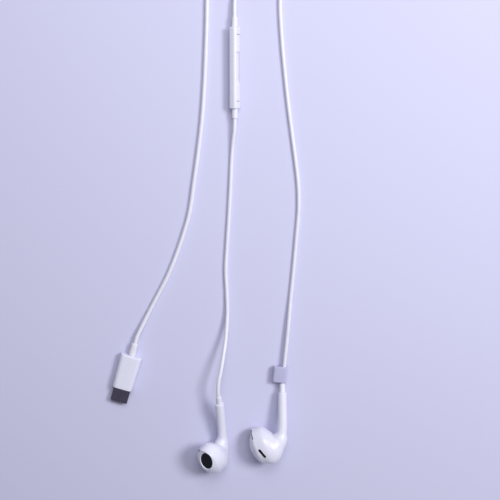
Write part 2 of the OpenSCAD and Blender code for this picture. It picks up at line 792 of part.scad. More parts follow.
module splitter_case() {
    in_l = splitter_l - 2 * remote_end;
    color(white) splitter() difference() {
        rotate([90, 0, 90]) linear_extrude(splitter_l) rounded_rect(splitter_w, splitter_t, splitter_r);
        translate([remote_end, 0, 0]) rotate([90, 0, 90]) linear_extrude(in_l)
            rounded_rect(splitter_w - 2 * splitter_wall, splitter_t - 2 * splitter_wall,
                splitter_r - splitter_wall);
        translate([-1, 0, 0]) rotate([0, 90, 0]) cylinder(d = neck_d + 2 * fit_gap, h = remote_end + 2);
    }
}

// The block in which the main cord's cores branch to the two earbud cords
module splitter_core() {
    core_l = splitter_l - 2 * remote_end - relief_flange_l - 0.4;
    core_w = splitter_w - 2 * splitter_wall - 0.6;
    core_t = splitter_t - 2 * splitter_wall - 0.6;
    color(black_plastic) splitter() translate([splitter_l - remote_end - core_l, -core_w / 2, -core_t / 2])
        cube([core_l, core_w, core_t]);
}

module splitter_relief() {
    color(soft_white) splitter() rotate([0, -90, 0])
        walled_relief(splitter_relief_d, splitter_relief_l, remote_end, neck_d, neck_d + 0.4,
            relief_flange_l);
}

// ---- Plug, in its own frame: y from its metal end to its cord, cord end at 0 ----

case_rear_y = -plug_relief_l;
case_front_y = case_rear_y - case_l;
plug_inner_y = case_front_y + shell_in_l;
plug_hold_l = case_l - case_end - shell_in_l;

module plug() {
    translate([plug_at.x, plug_at.y, case_t / 2]) rotate([0, 0, -plug_lean]) children();
}

module plug_case() {
    taper = (case_rear_w - case_front_w) / 2;
    color(white) plug() difference() {
        intersection() {
            along_y(case_front_y, case_rear_y) rounded_rect(case_rear_w, case_t, case_r);
            translate([0, 0, -case_t]) linear_extrude(2 * case_t) polygon([
                [-case_rear_w / 2, case_rear_y], [-case_rear_w / 2 + taper, case_front_y],
                [case_rear_w / 2 - taper, case_front_y], [case_rear_w / 2, case_rear_y]
            ]);
        }
        along_y(case_front_y + case_end, case_rear_y - case_end)
            rounded_rect(case_front_w - 2 * case_wall, case_in_t, case_in_r);
        along_y(case_front_y - 1, plug_inner_y + fit_gap)
            stadium(shell_w + 2 * fit_gap, shell_t + 2 * fit_gap);
        translate([0, case_rear_y - case_end - 1, 0]) rotate([-90, 0, 0])
            cylinder(d = plug_neck_d + 2 * fit_gap, h = case_end + 2);
    }
}

module plug_metal_shell() {
    color(dark_steel) plug() along_y(case_front_y - shell_l, plug_inner_y) difference() {
        stadium(shell_w, shell_t);
        stadium(shell_w - 2 * shell_sheet, shell_t - 2 * shell_sheet);
    }
}

module plug_insulator() {
    play = shell_sheet + 0.02;
    color(black_plastic) plug() {
        along_y(case_front_y - shell_l + 0.3, plug_inner_y - 1) difference() {
            stadium(shell_w - 2 * play, shell_t - 2 * play);
            square([slot_w, slot_t], center = true);
        }
        along_y(plug_inner_y - 1 - slack, plug_inner_y) stadium(shell_w - 2 * play, shell_t - 2 * play);
    }
}

module plug_contacts() {
    contact = [0.25, 4.2, 0.12];
    color(gold) plug() for (i = [0 : contact_count - 1], s = [-1, 1])
        translate([(i - (contact_count - 1) / 2) * contact_pitch - contact.x / 2,
            case_front_y - shell_l + 1, s * (slot_t / 2 - contact.z / 2) - contact.z / 2])
        cube(contact);
}

module plug_board() {
    size = [case_front_w - 2 * case_wall - 1.4, plug_hold_l - board_behind, 0.8];
    color(board_green) plug() translate([-size.x / 2, plug_inner_y, -size.z / 2]) cube(size);
}

module plug_shield_can() {
    out_w = case_front_w - 2 * case_wall - 2 * fit_gap;
    out_t = case_in_t - 2 * fit_gap;
    color(steel) plug() along_y(plug_inner_y + 0.1, plug_inner_y + plug_hold_l - can_behind) difference() {
        rounded_rect(out_w, out_t, case_in_r);
        rounded_rect(out_w - 2 * can_sheet, out_t - 2 * can_sheet, case_in_r - can_sheet);
    }
}

module plug_relief() {
    color(soft_white) plug() translate([0, case_rear_y, 0]) rotate([-90, 0, 0])
        walled_relief(plug_relief_d, plug_relief_l, case_end, plug_neck_d, plug_neck_d + 0.6, plug_flange_l);
}

// ---- Cords ----

module main_cord_run() {
    color(soft_white) swept_tube(run_route, main_d, 8);
}

module main_cord_coil() {
    color(soft_white) swept_tube(coil_route, main_d, 6);
}

module main_cord_lead() {
    color(soft_white) swept_tube(lead_route, main_d, 8);
}

module right_cord_lower() {
    color(soft_white) swept_tube(right_lower_route, bud_cord_d, 8);
}

module right_cord_upper() {
    color(soft_white) swept_tube(right_upper_route, bud_cord_d, 8);
}

module left_cord() {
    color(soft_white) swept_tube(left_route, bud_cord_d, 8);
}

right_bud() rear_shell();  // right_rear_shell
right_bud() front_cap();  // right_front_cap
right_bud() outlet_mesh();  // right_outlet_mesh
right_bud() slit_mesh();  // right_slit_mesh
right_bud() vent_mesh();  // right_vent_mesh
right_bud() baffle();  // right_baffle
right_bud() driver_frame();  // right_driver_frame
right_bud() magnet();  // right_magnet
right_bud() pole_plate();  // right_pole_plate
right_bud() voice_coil();  // right_voice_coil
right_bud() diaphragm();  // right_diaphragm
right_bud() driver_wires();  // right_driver_wires
right_bud() cord_anchor();  // right_cord_anchor
right_bud() bud_relief();  // right_strain_relief
left_bud() rear_shell();  // left_rear_shell
left_bud() front_cap();  // left_front_cap
left_bud() outlet_mesh();  // left_outlet_mesh
left_bud() slit_mesh();  // left_slit_mesh
left_bud() vent_mesh();  // left_vent_mesh
left_bud() baffle();  // left_baffle
left_bud() driver_frame();  // left_driver_frame
left_bud() magnet();  // left_magnet
left_bud() pole_plate();  // left_pole_plate
left_bud() voice_coil();  // left_voice_coil
left_bud() diaphragm();  // left_diaphragm
left_bud() driver_wires();  // left_driver_wires
left_bud() cord_anchor();  // left_cord_anchor
left_bud() bud_relief();  // left_strain_relief
remote_back_case();
remote_front_case();
remote_key_plate();
remote_key_spring();
remote_board();
remote_dome_switches();
remote_microphone();
remote_upper_relief();
remote_lower_relief();
cord_slider();
splitter_case();
splitter_core();
splitter_relief();
plug_case();
plug_metal_shell();
plug_insulator();
plug_contacts();
plug_board();
plug_shield_can();
plug_relief();
main_cord_run();
main_cord_coil();
main_cord_lead();
right_cord_lower();
right_cord_upper();
left_cord();
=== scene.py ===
"""Wired earphones: two stemmed earbuds, a remote, a cord slider, a splitter and a data plug."""

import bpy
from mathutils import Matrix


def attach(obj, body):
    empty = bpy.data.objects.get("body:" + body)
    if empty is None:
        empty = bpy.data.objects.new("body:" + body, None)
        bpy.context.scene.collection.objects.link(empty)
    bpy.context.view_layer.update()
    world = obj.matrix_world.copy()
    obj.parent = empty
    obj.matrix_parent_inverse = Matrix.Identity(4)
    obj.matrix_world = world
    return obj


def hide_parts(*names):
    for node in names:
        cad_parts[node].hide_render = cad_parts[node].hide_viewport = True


bl_info = {
    "name": "Wired Earphones",
    "version": (1, 0, 0),
    "blender": (4, 5, 0),
    "location": "View3D > Sidebar > Earphones",
    "description": "Builds stemmed earphones with their cords, remote, slider, splitter and plug",
    "category": "Object",
}

from math import cos, degrees, pi, radians, sin, sqrt

import bmesh
import bpy
from mathutils import Matrix, Vector

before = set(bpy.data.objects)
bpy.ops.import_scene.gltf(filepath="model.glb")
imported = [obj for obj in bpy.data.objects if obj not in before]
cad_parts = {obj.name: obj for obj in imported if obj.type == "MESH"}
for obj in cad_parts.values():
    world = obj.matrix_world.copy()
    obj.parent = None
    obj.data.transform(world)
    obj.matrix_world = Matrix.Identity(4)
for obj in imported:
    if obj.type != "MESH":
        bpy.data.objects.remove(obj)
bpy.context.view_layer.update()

MM = 0.001

# Where the pieces stand, in millimetres
RIGHT_BUD_AT = (-10.99, 17.73, 9.48)
LEFT_BUD_AT = (19.64, 21.8, 2.54)
# Lean, pitch and roll of each earbud, in degrees
RIGHT_BUD_TURNS = (-4.4, -15, 53.4)
LEFT_BUD_TURNS = (-0.1, 12.6, -13)
SLIDER_LINE_END = (22.7, 54.0, 1.8)
REMOTE_AT = (-3.0, 172.0)
SPLITTER_AT = (1.0, 300.0, 1.8)
PLUG_AT = (-51.2, 41.7)
COIL_AT = (-31.0, 265.0)

# An earbud's cord across, and the necks of sleeves and the holes that they pass, in metres
EARBUD_CORD_D = 1.8 * MM
NECK_D = 1.9 * MM
HOLE_R = 1.0 * MM

# Routes of the cords along their centres, in millimetres
LEFT_ROUTE = [
    LEFT_BUD_AT, SLIDER_LINE_END, (23.4, 63, 1.1), (24.5, 75, 0.9), (25.9, 92, 0.9),
    (27, 108, 0.9), (26.7, 118, 0.9), (25.4, 129, 0.9), (23.6, 142, 0.9), (21.7, 156, 0.9),
    (20, 171, 0.9), (18.5, 187, 0.9), (17.7, 203, 0.9), (18.8, 218, 0.9), (21.6, 231, 0.9),
    (24.8, 245, 0.9), (26.4, 259, 0.9), (26.6, 273, 0.9), (26.6, 287, 1), (25.7, 293.3, 1.3),
    (22.7, 298.1, 1.5), (18.3, 300.8, 1.7), (16, 301.3, 1.8), (14, 301.3, 1.8),
]
RIGHT_LOWER_ROUTE = [
    RIGHT_BUD_AT, (-11.2, 20.6, 10.1), (-10.9, 25.1, 10.3), (-9.8, 30.5, 9.4), (-8.7, 36.9, 7.5),
    (-7.7, 43.6, 5.1), (-7.1, 50.4, 3), (-6.8, 57.2, 1.6), (-7, 66, 1), (-7.5, 77, 0.9),
    (-6.8, 90, 0.9), (-5.8, 105, 0.9), (-5, 120, 0.9), (-4.5, 131, 0.9), (-3.9, 138, 1.5),
    (-3.1, 145, 2.6), (-3, 149.1, 2.75),
]
RIGHT_UPPER_ROUTE = [
    (-3, 194.9, 2.75), (-3, 198.5, 2.6), (-2.9, 204, 1.8), (-2.5, 210, 1), (-1.2, 216, 0.9),
    (2, 222.5, 0.9), (7, 229, 0.9), (13, 235.6, 0.9), (17.8, 242.5, 0.9), (21, 250, 0.9),
    (22.7, 260, 0.9), (23, 275, 0.9), (23, 289, 1.1), (21.9, 293.9, 1.4), (19.1, 297.3, 1.6),
    (16.3, 298.6, 1.8), (14, 298.7, 1.8),
]
LEAD_ROUTE = [
    (-3, 300, 1.8), (-6, 299.9, 1.7), (-9.6, 298.4, 1.3), (-12.9, 295.4, 1), (-14.9, 291.5, 1),
    (-15.5, 287, 1), (-15.5, 277, 1), (-15.5, 267, 1),
]
RUN_ROUTE = [
    (-15.5, 263, 3.45), (-15.5, 256, 3.3), (-15.5, 246, 2.2), (-15.5, 236, 1.1), (-15.4, 224, 1),
    (-15.4, 209, 1), (-15.7, 193, 1), (-16.3, 178, 1), (-17.1, 163, 1), (-18.3, 148, 1),
    (-20.2, 133, 1), (-22.2, 119.5, 1), (-24.7, 104, 1), (-27.5, 94.5, 1), (-31, 84.5, 1),
    (-35.4, 74, 1), (-40.1, 65, 1), (-44.6, 56.4, 1.2), (-48, 49.6, 1.8), (-50.2, 45, 2.35),
    (-51.2, 41.7, 2.45),
]


# ---- Sizes and colours that a user may change ----


def length(name, description, default):
    return bpy.props.FloatProperty(
        name=name, description=description, default=default * MM, min=0.0, unit="LENGTH", precision=5)


def angle(name, description, default):
    return bpy.props.FloatProperty(
        name=name, description=description, default=radians(default), unit="ROTATION")


def colour(name, description, default):
    return bpy.props.FloatVectorProperty(
        name=name, description=description, default=default, size=3, min=0.0, max=1.0, subtype="COLOR")


def amount(name, description, default):
    return bpy.props.FloatProperty(
        name=name, description=description, default=default, min=0.0, max=1.0, subtype="FACTOR")


class EARPHONES_PG_bud(bpy.types.PropertyGroup):
    """Sizes of the earbuds"""

    head_len: length("Head length", "Long way across the head at the seam", 17.85)
    head_w: length("Head width", "Short way across the head at the seam", 12.5)
    head_reach: length("Head reach", "From the stem's axis to the middle of the seam", 11.55)
    seam_tilt: angle("Seam tilt", "Lean of the seam from the stem's axis", 21.7)
    stem_l: length("Stem length", "From the middle of the seam up to the stem's end", 25.9)
    stem_top_d: length("Stem at its end", "Stem across its cord end", 4.2)
    stem_low_d: length("Stem at the head", "Stem across where it meets the head", 4.6)
    neck_h: length("Neck height", "Height at which the stem becomes straight", 10.5)
    wall: length("Wall", "Wall of the shell and the cap", 0.8)
    cap_depth: length("Cap depth", "From the seam to the outlet", 2.4)
    outlet_len: length("Outlet length", "Long way across the sound outlet", 8.5)
    outlet_w: length("Outlet width", "Short way across the sound outlet", 6.35)
    outlet_lip: length("Outlet lip", "Lip round the outlet", 0.55)
    outlet_rise: length("Outlet rise", "Shift of the outlet along the seam", 3.7)
    outlet_side: length("Outlet side", "Shift of the outlet sideways", 1.2)
    outlet_tilt: angle("Outlet tilt", "Turn of the outlet's plane upwards", 25.8)
    outlet_turn: angle("Outlet turn", "Turn of the outlet's plane sideways", 8)
    vent_len: length("Vent length", "Slot in the back of the head", 5)
    vent_w: length("Vent width", "Width of that slot", 1.4)
    slit_len: length("Slit length", "Slit beside the seam", 5.4)
    slit_w: length("Slit width", "Width of that slit", 0.6)
    relief_d: length("Relief across", "Sleeve at the stem's end", 2.8)
    relief_l: length("Relief length", "Sleeve out of the stem", 4)
    root_l: length("Relief root", "Sleeve inside the stem", 3)
    groove: length("Seam groove", "Rounding of the shell's and the cap's edges at the seam", 0.09)


class EARPHONES_PG_remote(bpy.types.PropertyGroup):
    """Sizes of the remote"""

    length: length("Length", "Remote from end to end", 37)
    width: length("Width", "Remote across its key face", 5.2)
    thick: length("Thickness", "Remote from its back to its keys", 3.9)
    edge_r: length("Edge radius", "Radius of the long edges", 1.3)
    end_r: length("End radius", "Rounding of the two ends", 0.75)
    seam: length("Seam height", "Seam above the back", 1.65)
    wall: length("Wall", "Wall of the case", 0.6)
    end: length("End wall", "Thickness of the two ends", 1)
    key_l: length("Key length", "Key plate from end to end", 30)
    key_w: length("Key width", "Key plate across", 3.3)
    key_dip: length("Key dip", "Depth of the dip in the middle of the key plate", 0.6)
    roll: angle("Roll", "Roll of the remote on the surface", 62)
    relief_d: length("Relief across", "Sleeves at the two ends", 2.9)
    relief_l: length("Relief length", "Sleeves out of the case", 4.4)


class EARPHONES_PG_fittings(bpy.types.PropertyGroup):
    """Sizes of the slider, the splitter, the plug and the cords"""

    slider_w: length("Slider width", "Slider across the two cords", 6.7)
    slider_l: length("Slider length", "Slider along the cord", 7.8)
    slider_t: length("Slider thickness", "Slider from face to face", 3.4)
    slider_r: length("Slider edge", "Radius of the slider's long edges", 1.2)
    slider_bore_x: length("Slider bore", "From the slider's middle to its bore", 1.7)
    splitter_l: length("Splitter length", "Splitter along the cords", 13)
    splitter_w: length("Splitter width", "Splitter across the earbud cords", 5.6)
    splitter_t: length("Splitter thickness", "Splitter from face to face", 3.6)
    splitter_r: length("Splitter edge", "Radius of the splitter's long edges", 1.5)
    case_rear_w: length("Plug at the cord", "Plug case across its cord end", 10.4)
    case_front_w: length("Plug at the metal", "Plug case across its metal end", 9.6)
    case_l: length("Plug length", "Plug case from end to end", 17)
    case_t: length("Plug thickness", "Plug case from face to face", 4.9)
    case_r: length("Plug edge", "Radius of the plug case's long edges", 2)
    plug_lean: angle("Plug lean", "Lean of the plug across the surface", 16.5)
    plug_relief_d: length("Plug relief across", "Sleeve at the plug", 3.4)
    plug_relief_l: length("Plug relief length", "Sleeve out of the plug", 6)
    shell_w: length("Metal width", "Metal shell across", 8.25)
    shell_t: length("Metal thickness", "Metal shell from face to face", 2.4)
    shell_l: length("Metal length", "Metal shell out of the case", 6.8)
    shell_sheet: length("Metal sheet", "Sheet of the metal shell", 0.3)
    main_d: length("Main cord", "Main cord across", 2)
    bud_cord_d: length("Earbud cord", "Earbud cords across", 1.8)
    coil_pitch: length("Coil pitch", "From turn to turn of the coil", 2.45)
    coil_r: length("Coil radius", "Radius of the coil's outermost turn", 15.5)
    coil_turns: bpy.props.IntProperty(name="Coil turns", description="Turns of the coil", default=8, min=2)


class EARPHONES_PG_finish(bpy.types.PropertyGroup):
    """Colours and finishes"""

    shell: colour("Shell", "Glossy moulded plastic", (0.78, 0.78, 0.89))
    soft: colour("Sleeves", "Soft moulded sleeves", (0.80, 0.80, 0.86))
    cord: colour("Cord", "Cord's jacket", (0.80, 0.80, 0.87))
    # The slider's grey-blue is painted shade and painted reflection of a dark surround; its plastic is white
    # like the shell
    slider: colour("Slider", "Slider's plastic", (0.49, 0.49, 0.68))
    floor: colour("Floor", "The surface that everything lies on", (0.62, 0.62, 0.805))
    plug_steel: colour("Plug steel", "Darkened steel of the plug's shell", (0.085, 0.074, 0.092))
    shell_rough: amount("Shell roughness", "Roughness of the glossy plastic", 0.3)
    soft_rough: amount("Sleeve roughness", "Roughness of the soft sleeves", 0.5)
    cord_rough: amount("Cord roughness", "Roughness of the cord's jacket", 0.42)


# ---- Shared shape tools, in metres ----


def mix(a, b, t):
    return a + (b - a) * t


def smooth_step(t):
    t = min(max(t, 0.0), 1.0)
    return t * t * (3 - 2 * t)


def curve_at(rows, s):
    """A smooth curve through rows, s counts rows from the first"""
    last = len(rows) - 1
    i = min(int(s), last - 1)
    t = s - i
    a, b, c, d = rows[max(i - 1, 0)], rows[i], rows[i + 1], rows[min(i + 2, last)]
    return [
        (2 * q + (r - p) * t + (2 * p - 5 * q + 4 * r - u) * t * t + (3 * q - p - 3 * r + u) * t**3) / 2
        for p, q, r, u in zip(a, b, c, d)
    ]


def frame_on(p, along, out):
    """Matrix that stands on a surface at p, x along it and z out of it"""
    across = out.cross(along)
    turn = Matrix((along, across, out)).transposed().to_4x4()
    return Matrix.Translation(p) @ turn


def skin_frame(point, row, a, step):
    """Frame on a skin at a row and an angle: x round the skin, z out of it, step along its rows"""
    along = (point(row, a + 2) - point(row, a - 2)).normalized()
    back = (point(row + step, a) - point(row - step, a)).normalized()
    return frame_on(point(row, a), along, along.cross(back).normalized())


def turned(by, axis):
    """A turn by so many degrees"""
    return Matrix.Rotation(radians(by), 4, axis)


def quarter(steps):
    """A rounding of radius 1 in steps: how far it still lies from the end, and from the side"""
    turns = [pi / 2 * i / steps for i in range(steps + 1)]
    return [(1 - sin(a), 1 - cos(a)) for a in turns]


def loops_mesh(rings, closed=False):
    """Points and faces of a skin over rings of equal count, capped, or closed on itself"""
    n, m = len(rings[0]), len(rings)
    points = [p for ring in rings for p in ring]
    faces = []
    for i in range(m if closed else m - 1):
        j = (i + 1) % m
        for k in range(n):
            l = (k + 1) % n
            faces.append((i * n + k, i * n + l, j * n + l, j * n + k))
    if not closed:
        faces.append(tuple(range(n - 1, -1, -1)))
        faces.append(tuple((m - 1) * n + k for k in range(n)))
    return points, faces


def linked(name, data):
    """A new object of the scene"""
    made = bpy.data.objects.new(name, data)
    bpy.context.scene.collection.objects.link(made)
    return made


def bare_object(name, points, faces, matrix=Matrix()):
    mesh = bpy.data.meshes.new(name)
    mesh.from_pydata([matrix @ Vector(p) for p in points], [], faces)
    bm = bmesh.new()
    bm.from_mesh(mesh)
    bmesh.ops.remove_doubles(bm, verts=bm.verts, dist=1e-7)
    bmesh.ops.recalc_face_normals(bm, faces=bm.faces)
    bm.to_mesh(mesh)
    bm.free()
    return linked(name, mesh)


def apply_modifiers(piece):
    graph = bpy.context.evaluated_depsgraph_get()
    mesh = bpy.data.meshes.new_from_object(piece.evaluated_get(graph))
    old = piece.data
    piece.modifiers.clear()
    piece.data = mesh
    mesh.name = piece.name
    bpy.data.meshes.remove(old)


def combine(piece, tool, operation="DIFFERENCE"):
    """Cuts a piece with a tool, joins the two, or keeps what they share"""
    step = piece.modifiers.new("cut", "BOOLEAN")
    step.object = tool
    step.operation = operation
    step.solver = "EXACT"
    apply_modifiers(piece)
    mesh = tool.data
    bpy.data.objects.remove(tool)
    bpy.data.meshes.remove(mesh)


def soften(piece, width, limit):
    """Rounds the edges of a piece that turn by more than limit degrees"""
    step = piece.modifiers.new("soften", "BEVEL")
    step.width = width
    step.segments = 2
    step.limit_method = "ANGLE"
    step.angle_limit = radians(limit)
    apply_modifiers(piece)


def shade(piece):
    """Smooth faces, with an edge where the surface really turns"""
    limit = radians(38)
    bm = bmesh.new()
    bm.from_mesh(piece.data)
    for face in bm.faces:
        face.smooth = True
    for edge in bm.edges:
        edge.smooth = len(edge.link_faces) == 2 and edge.calc_face_angle(0) < limit
    bm.to_mesh(piece.data)
    bm.free()


# The materials by name, made when the object is built
FINISH = {}


def finish_piece(piece, finish, *nodes, slot=None, body="set"):
    """Gives a new piece its material and its body, and hides the nodes that it stands for; slot is not used
    """
    piece.data.materials.clear()
    piece.data.materials.append(FINISH[finish])
    if piece.type == "MESH":
        shade(piece)
    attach(piece, body)
    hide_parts(*nodes)


def dress(finish, *nodes):
    """Gives nodes of the frame a material"""
    for name in nodes:
        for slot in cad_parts[name].material_slots:
            slot.material = FINISH[finish]


def rounded_ring(w, h, r):
    """A rounded rectangle round the origin"""
    per_corner = 8
    r = max(min(r, w / 2, h / 2), 1e-6)
    ring = []
    for k, (sx, sz) in enumerate(((1, 1), (-1, 1), (-1, -1), (1, -1))):
        for i in range(per_corner + 1):
            a = pi / 2 * (k + i / per_corner)
            ring.append((sx * (w / 2 - r) + r * cos(a), sz * (h / 2 - r) + r * sin(a)))
    return ring


def rounded_ends(y0, y1, r0, r1, middle):
    """Stations from y0 to y1 as (y, inset), with the two ends rounded"""
    steps = 5
    stations = [(y0 + r0 * out, r0 * side) for out, side in reversed(quarter(steps))]
    stations += [(mix(y0 + r0, y1 - r1, i / middle), 0.0) for i in range(1, middle)]
    return stations + [(y1 - r1 * out, r1 * side) for out, side in quarter(steps)]


def rounded_box(name, w, h, r, y0, y1, r0, r1, taper=0.0, middle=1):
    """A rounded box along y; taper is how much narrower it is at y0"""
    rings = []
    for y, inset in rounded_ends(y0, y1, r0, r1, middle):
        width = w - taper * (y1 - y) / (y1 - y0)
        rings.append([(x, y, z) for x, z in rounded_ring(width - 2 * inset, h - 2 * inset, r - inset)])
    return bare_object(name, *loops_mesh(rings))


def cavity(piece, w, h, r, y0, y1):
    """Hollows a piece out with a box along y"""
    end_r = 0.05 * MM
    combine(piece, rounded_box("cavity", w, h, r, y0, y1, end_r, end_r))


def plain_box(name, low, high):
    corners = ((low[0], low[1]), (high[0], low[1]), (high[0], high[1]), (low[0], high[1]))
    return bare_object(name, *loops_mesh([[(x, y, z) for x, y in corners] for z in (low[2], high[2])]))


def stadium_ring(w, h):
    """A flat bar with round ends round the origin"""
    per_end = 14
    ring = []
    for s, start in ((1, -pi / 2), (-1, pi / 2)):
        for i in range(per_end + 1):
            a = start + pi * i / per_end
            ring.append((s * (w - h) / 2 + h / 2 * cos(a), h / 2 * sin(a)))
    return ring


def slot_tool(ring, z0, z1, matrix=Matrix()):
    """A ring in x and y drawn out along z, to cut with"""
    return bare_object("slot", *loops_mesh([[(x, y, z) for x, y in ring] for z in (z0, z1)]), matrix)


def lathe(name, profile, matrix, sides=40):
    """A turned piece from (radius, z) pairs"""
    rings = [
        [(r * cos(2 * pi * k / sides), r * sin(2 * pi * k / sides), z)
         for k in range(sides)]
        for r, z in profile
    ]
    return bare_object(name, *loops_mesh(rings), matrix)


def drill(piece, r, y0, y1, x=0.0, sides=32):
    """Cuts a round hole along y"""
    combine(piece, lathe("bore", [(r, y0), (r, y1)], Matrix.Translation((x, 0, 0)) @ turned(-90, "X"), sides))


# ---- Materials ----


def add(tree, kind, **inputs):
    """A new node with the values of its inputs"""
    made = tree.nodes.new(kind)
    for name, value in inputs.items():
        made.inputs[name.replace("_", " ")].default_value = value
    return made


def add_noise(tree, vector, scale, detail):
    made = add(tree, "ShaderNodeTexNoise", Scale=scale, Detail=detail)
    tree.links.new(vector, made.inputs["Vector"])
    return made.outputs["Fac"]


def add_ramp(tree, value, stops):
    """A colour ramp over two (position, colour) stops, no channel above 1"""
    made = tree.nodes.new("ShaderNodeValToRGB")
    for element, (at, tint) in zip(made.color_ramp.elements, stops):
        element.position = at
        element.color = (*[min(c, 1) for c in tint], 1)
    tree.links.new(value, made.inputs["Fac"])
    return made.outputs["Color"]


def larger(tree, a, b):
    """The larger of two values"""
    made = tree.nodes.new("ShaderNodeMath")
    made.operation = "MAXIMUM"
    tree.links.new(a, made.inputs[0])
    tree.links.new(b, made.inputs[1])
    return made.outputs["Value"]


def scaled(tint, factor):
    return [c * factor for c in tint]


def moulded(
    name, tint, rough, metallic=0.0, grain=9000.0, depth=0.000004, bump=0.25, tone=0.03,
    rough_spread=0.06, streaks=None, coat=0.0, sheen=0.0, subsurface=0.0, wear=0.0,
):
    """A finish with fine grain, tone and roughness that wander a little, and worn edges"""
    material = bpy.data.materials.new(name)
    material.use_nodes = True
    tree = material.node_tree
    tree.nodes.clear()
    link = tree.links.new
    out = tree.nodes.new("ShaderNodeOutputMaterial")
    shader = add(tree, "ShaderNodeBsdfPrincipled", Metallic=metallic, IOR=1.46, Coat_Weight=coat,
                 Coat_Roughness=0.12, Sheen_Weight=sheen)
    link(shader.outputs["BSDF"], out.inputs["Surface"])
    if subsurface:
        shader.inputs["Subsurface Weight"].default_value = subsurface
        shader.inputs["Subsurface Radius"].default_value = (1.0, 0.9, 0.9)
        shader.inputs["Subsurface Scale"].default_value = 0.0006
    where = tree.nodes.new("ShaderNodeTexCoord").outputs["Object"]

    # Slow changes of tone and gloss over the surface
    wander = add_noise(tree, where, 260.0, 4.0)
    base = add_ramp(tree, wander, ((0.3, scaled(tint, 1 - tone)), (0.7, scaled(tint, 1 + tone * 0.4))))
    if wear:
        geometry = tree.nodes.new("ShaderNodeNewGeometry")
        edge = add(tree, "ShaderNodeMapRange", From_Min=0.53, From_Max=0.62, To_Max=wear)
        link(geometry.outputs["Pointiness"], edge.inputs["Value"])
        worn = tree.nodes.new("ShaderNodeMix")
        worn.data_type = "RGBA"
        worn.inputs[7].default_value = (*[min(c * 1.5 + 0.05, 1) for c in tint], 1)
        link(edge.outputs["Result"], worn.inputs[0])
        link(base, worn.inputs[6])
        base = worn.outputs[2]
    link(base, shader.inputs["Base Color"])
    gloss = add(tree, "ShaderNodeMapRange", From_Min=0.3, From_Max=0.7,
                To_Min=max(rough - rough_spread, 0.02), To_Max=min(rough + rough_spread, 1.0))
    link(add_noise(tree, where, 900.0, 5.0), gloss.inputs["Value"])
    link(gloss.outputs["Result"], shader.inputs["Roughness"])

    # Fine grain, drawn out into streaks where the finish is brushed
    grain_at = where
    if streaks:
        stretch = add(tree, "ShaderNodeMapping", Scale=streaks)
        link(where, stretch.inputs["Vector"])
        grain_at = stretch.outputs["Vector"]
    relief = add(tree, "ShaderNodeBump", Strength=bump, Distance=depth)
    link(add_noise(tree, grain_at, grain, 3.0), relief.inputs["Height"])
    link(relief.outputs["Normal"], shader.inputs["Normal"])
    return material


def woven(name, tint, pitch):
    """Fine black cloth over a wire mesh, with its open squares darker than its threads"""
    material = moulded(name, tint, 0.7, grain=14000.0, tone=0.2, rough_spread=0.1)
    tree = material.node_tree
    kinds = {n.type: n for n in tree.nodes}
    shader, where, relief = kinds["BSDF_PRINCIPLED"], kinds["TEX_COORD"], kinds["BUMP"]
    shader.inputs["Specular IOR Level"].default_value = 0.12
    # The wave's bands are about this far apart at scale 1
    band = 0.3183
    height = None
    for axis in ("X", "Y", "Z"):
        wave = add(tree, "ShaderNodeTexWave", Scale=band / pitch, Distortion=0.0)
        wave.wave_type = "BANDS"
        wave.bands_direction = axis
        wave.wave_profile = "SIN"
        tree.links.new(where.outputs["Object"], wave.inputs["Vector"])
        band_height = wave.outputs["Fac"]
        height = band_height if height is None else larger(tree, height, band_height)
    threads = add_ramp(tree, height, ((0.35, scaled(tint, 0.25)), (0.95, scaled(tint, 1.6))))
    tree.links.new(threads, shader.inputs["Base Color"])
    relief.inputs["Distance"].default_value = 0.00004
    relief.inputs["Strength"].default_value = 0.6
    tree.links.new(height, relief.inputs["Height"])
    return material


def finish_set():
    """Every material of the object by its plain name"""
    look = bpy.context.scene.earphones_finish
    known = {}

    def make(name, *sizes, **values):
        known[name] = moulded(name, *sizes, **values)

    make("shell_white", look.shell, look.shell_rough, tone=0.015, coat=0.2, depth=0.000002,
         bump=0.12, subsurface=0.12, rough_spread=0.05)
    make("soft_white", look.soft, look.soft_rough, tone=0.04, sheen=0.12, bump=0.4, subsurface=0.15)
    make("cord_white", look.cord, look.cord_rough, tone=0.035, sheen=0.08, bump=0.35,
         grain=7000.0, subsurface=0.12)
    # Grey-blue painted shade and painted reflection laid over the slider's white plastic
    make("slider_painted_shade", look.slider, 0.38, tone=0.03, bump=0.25, subsurface=0.2)
    known["mesh_black"] = woven("mesh_black", (0.008, 0.009, 0.011), pitch=0.22 * MM)
    make("black_plastic", (0.022, 0.022, 0.025), 0.42, tone=0.2, bump=0.3)
    make("steel", (0.56, 0.56, 0.58), 0.3, metallic=1.0, tone=0.08, streaks=(1.0, 0.08, 1.0), bump=0.3,
         wear=0.3)
    make("plug_steel", look.plug_steel, 0.36, metallic=1.0, tone=0.12, streaks=(1.0, 0.06, 1.0),
         bump=0.35, wear=0.6)
    make("magnet", (0.4, 0.4, 0.42), 0.25, metallic=1.0, tone=0.1, bump=0.2, wear=0.3)
    make("copper", (0.72, 0.33, 0.17), 0.34, metallic=1.0, tone=0.15, bump=0.4, coat=0.3)
    make("gold", (0.86, 0.62, 0.24), 0.28, metallic=1.0, tone=0.08, bump=0.2)
    make("film", (0.5, 0.53, 0.56), 0.2, tone=0.06, bump=0.2, coat=0.4)
    make("board", (0.03, 0.16, 0.075), 0.35, tone=0.25, bump=0.4, coat=0.2)
    return known


# ---- Earbuds ----


